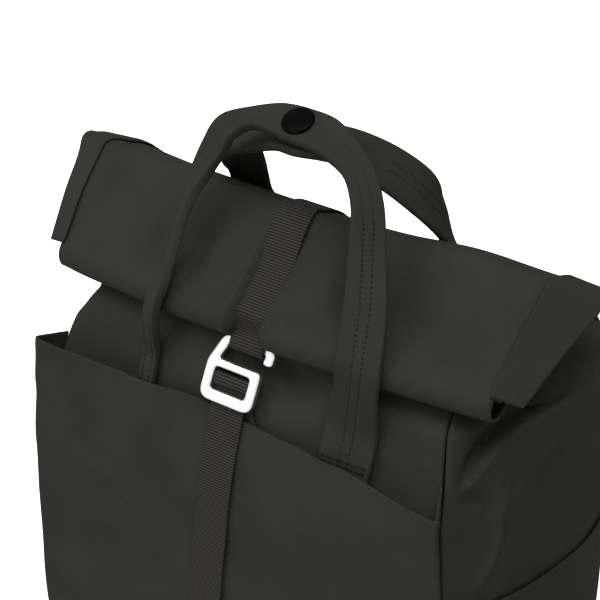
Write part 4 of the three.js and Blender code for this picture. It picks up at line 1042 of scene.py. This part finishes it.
webLift = cloth["seat"] + webbing["thick"] / 2
overStations = np.concatenate([np.arange(0, len(backPart), 4), np.arange(len(backPart), foldStart + 1, 3)])
overRoll = onRoll(overStations, rollMid + webLift + strap["rollLift"], np.zeros((len(overStations), 1)))
strapBack = [(backY(0, z) + lift, z) for z, lift in zip(strap["backZ"], strap["backLift"])]
closurePath = strapBack + [tuple(p) for p in overRoll[:, 0, 1:]] + [onHook(v, w) for v, w in strapLoop]
closure = webStations(closurePath, 300, np.zeros_like)
closurePiece = addStrip("closure_strap", closure, webSection, webMat, "webbing")
strapWay = wayAlong(closure["at"])
loopAt = np.argmin(closure["at"][:, 1] + closure["at"][:, 2])
for away in strapSewn["above"]:
    k = int(np.argmin(np.abs(strapWay - strapWay[loopAt] + away)))
    addBar("strap_bar_" + str(away), closurePiece, closure, k, strapSewn)


def tailSway(share):
    sway = tail["sway"] * easeFrom(share, *tail["swayFrom"])
    return hook["at"][0] + sway + tail["anchorAside"] * (1 - easeFrom(share, *tail["asideTo"]))


tailAnchor = [(float(onFront(0, z)[1]) - webLift - tail["anchorLift"], z) for z in tail["anchorZ"]]
tailFree = []
for z in np.arange(tail["top"], tail["end"] - 1, -tail["step"]):
    rise = (z - pocketSet["foot"]) / (pocketMouth["right"][0] - pocketSet["foot"])
    tailFree.append((float(onPocket(1, 0.0, rise)[1]) - webLift - tail["lift"], z))
tailPath = tailAnchor + [onHook(v, w) for v, w in tailOverBar] + tailFree
addStrip("tail_strap", webStations(tailPath, 320, tailSway), webSection, webMat, "webbing")
print("webbing made")

# Shoulder straps on the back, mirrored: padded strip in rows like the handles', webbing from its lower end
padRows = [
    (52, 139, 300, 0, -0.62, 0.78, 63, 10),
    (55, 150, 308, 0, 0.1, 0.99, 64, 11),
    (60, 164, 302, 0.03, 0.7, 0.7, 64, 11),
    (68, 178, 272, 0.08, 0.97, 0.2, 63, 11),
    (78, 185, 232, 0.1, 0.99, 0, 58, 11),
    (90, 181, 190, 0.1, 0.98, -0.16, 52, 10),
    (100, 169, 152, 0.1, 0.96, -0.26, 44, 9),
    (106, 157, 120, 0.1, 0.95, -0.3, 36, 8),
]
padFoot = {"x": 50, "z": [265, 285], "wide": 60, "thick": 8, "lift": 1.6}
padShape = {"wide": (0.35, 0.8), "thick": (0.6, 0.6)}  # power of the section, inset
padSwell = {"cap": 4, "voxel": 0.0045, "pressure": 4, "stiffness": 30, "frames": 20}
strapRows = [(103, 158.5, 142), (106, 151.5, 118), (119, 141, 84), (130, 133, 54)]
strapFoot = {"x": 136, "z": [38, 26], "lift": 1}


def padSection(wide, thick):
    turn = np.linspace(0, 2 * math.pi, 40, endpoint=False)
    (widePower, wideInset), (thickPower, thickInset) = padShape["wide"], padShape["thick"]
    return np.column_stack([boxy(np.cos(turn), widePower) * (wide / 2 - wideInset),
                            boxy(np.sin(turn), thickPower) * (thick / 2 - thickInset)])


# Blows the cover of a pad up from inside, each point by no more than the cap in millimetres
def swell(piece, cap):
    remesh = piece.modifiers.new("voxels", "REMESH")
    remesh.mode, remesh.voxel_size = "VOXEL", padSwell["voxel"]
    piece.data = shapeNow(piece)
    piece.modifiers.clear()
    start = pointsOf(piece.data)
    soft = piece.modifiers.new("pressure", "CLOTH").settings
    soft.use_pressure, soft.uniform_pressure_force = True, padSwell["pressure"]
    soft.effector_weights.gravity = 0
    soft.tension_stiffness = soft.compression_stiffness = padSwell["stiffness"]
    for f in range(1, padSwell["frames"] + 1):
        scene.frame_set(f)
    done = shapeNow(piece)
    piece.modifiers.clear()
    scene.frame_set(1)
    move = pointsOf(done) - start
    far = np.linalg.norm(move, axis=1, keepdims=True)
    made = start + move * np.minimum(1, cap / 1000 / np.maximum(far, 1e-9))
    done.vertices.foreach_set("co", made.ravel())
    print("pad swollen by", round(float(np.minimum(far, cap / 1000).max() * 1000), 1), "mm")
    return done


swollen = None
for label, side in (("right", 1), ("left", -1)):
    mirror = np.array([side, 1, 1, side, 1, 1, 1, 1])
    padName, webName = "shoulder_strap_" + label, "strap_webbing_" + label
    lift = padFoot["thick"] / 2 + cloth["seat"] + padFoot["lift"]
    feet = [(padFoot["x"], backY(padFoot["x"], z) + lift + k, z, 0, -1, 0, padFoot["wide"], padFoot["thick"])
            for k, z in enumerate(padFoot["z"])]
    stations = stationsThrough(np.array(feet + padRows) * mirror, 120)
    pad = makePiece(padName, *sweepMesh(stations, padSection), clothMat, padName)
    if swollen is None:
        swollen = swell(pad, padSwell["cap"])
        pad.data = swollen
    else:
        pad.data = swollen.copy()
        pad.data.transform(Matrix.Diagonal((-1, 1, 1, 1)))
        pad.data.flip_normals()
    finer = pad.modifiers.new("finer", "SUBSURF")
    finer.levels = finer.render_levels = 1
    pad.data.polygons.foreach_set("use_smooth", np.ones(len(pad.data.polygons), bool))
    webOut = webLift + strapFoot["lift"]
    webFeet = [(strapFoot["x"], backY(strapFoot["x"], z) + webOut, z) for z in strapFoot["z"]]
    rows = [(*p, 0.1, 1, 0, webbing["width"], webbing["thick"]) for p in strapRows + webFeet]
    addStrip(webName, stationsThrough(np.array(rows) * mirror, 90), webSection, webMat, "webbing")
print("shoulder straps made")

# Floor, light and camera
floorFinish = {"tone": "#f4f4f2", "roughness": 0.9, "glow": 1.0, "half": 6}
floorMesh = bpy.data.meshes.new("floor")
floorMesh.from_pydata([(x * floorFinish["half"], y * floorFinish["half"], 0)
                       for x, y in ((-1, -1), (1, -1), (1, 1), (-1, 1))], [], [(0, 1, 2, 3)])
floorMesh.materials.append(startMaterial("pale_floor", {
    "Base Color": hexColor(floorFinish["tone"]), "Roughness": floorFinish["roughness"],
    "Emission Color": (1, 1, 1, 1), "Emission Strength": floorFinish["glow"]})[0])
floor = addObject("floor", floorMesh)
floor.visible_diffuse = floor.visible_glossy = False

# Pale walls, brightest in front, under a darker ceiling: strength against the height of the direction
studio = {"strength": 1.15, "sky": [(-1, 0.75), (0, 0.9), (0.3, 0.9), (0.6, 0.5), (1, 0.3)],
          "front": (-0.3, -0.85, 0), "range": (0.25, 1.12), "target": (0, -0.02, 0.3)}
lights = [  # name, place, size, watts
    ("key", (-1.9, -3.3, 4.8), 2.6, 114),
    ("side", (1.5, -1.6, 5), 2.6, 165),
]
world = bpy.data.worlds.new("studio")
scene.world = world
world.use_nodes = True
studioTree = world.node_tree
sky = studioTree.nodes["Background"].inputs
direction = addNode(studioTree, "TexCoord")
parts = addNode(studioTree, "SeparateXYZ", links={0: (direction, "Generated")})
height = addNode(studioTree, "MapRange", {"From Min": -1}, {"Value": (parts, 2)})
shade = addNode(studioTree, "ValToRGB", links={0: (height, 0)}, into=sky["Color"])
for k, (z, value) in enumerate(studio["sky"]):
    stop = shade.color_ramp.elements[0] if k == 0 else shade.color_ramp.elements.new((z + 1) / 2)
    stop.position, stop.color = (z + 1) / 2, (value, value, value, 1)
ahead = addNode(studioTree, "VectorMath", {"operation": "DOT_PRODUCT", 1: studio["front"]},
                {0: (direction, "Generated")})
low, high = (v * studio["strength"] for v in studio["range"])
addNode(studioTree, "MapRange", {"From Min": -1, "To Min": low, "To Max": high}, {"Value": (ahead, "Value")},
        sky["Strength"])
for name, place, size, watts in lights:
    lamp = bpy.data.lights.new(name, "AREA")
    lamp.shape, lamp.size, lamp.energy = "DISK", size, watts
    lampObject = addObject(name, lamp)
    lampObject.location = place
    aim = Vector(studio["target"]) - Vector(place)
    lampObject.rotation_euler = aim.to_track_quat("-Z", "Y").to_euler()

view = {"lens": 111.66, "sensor": 36, "at": (0.5701, -0.8252, 0.9595), "tilt": 58.8, "turn": 35}
camera = bpy.data.cameras.new("camera")
camera.lens, camera.sensor_width = view["lens"], view["sensor"]
cameraObject = addObject("camera", camera)
cameraObject.location = view["at"]
cameraObject.rotation_euler = (math.radians(view["tilt"]), 0, math.radians(view["turn"]))
scene.camera = cameraObject
scene.view_settings.view_transform = "Standard"
print("studio made")

bpy.context.view_layer.update()
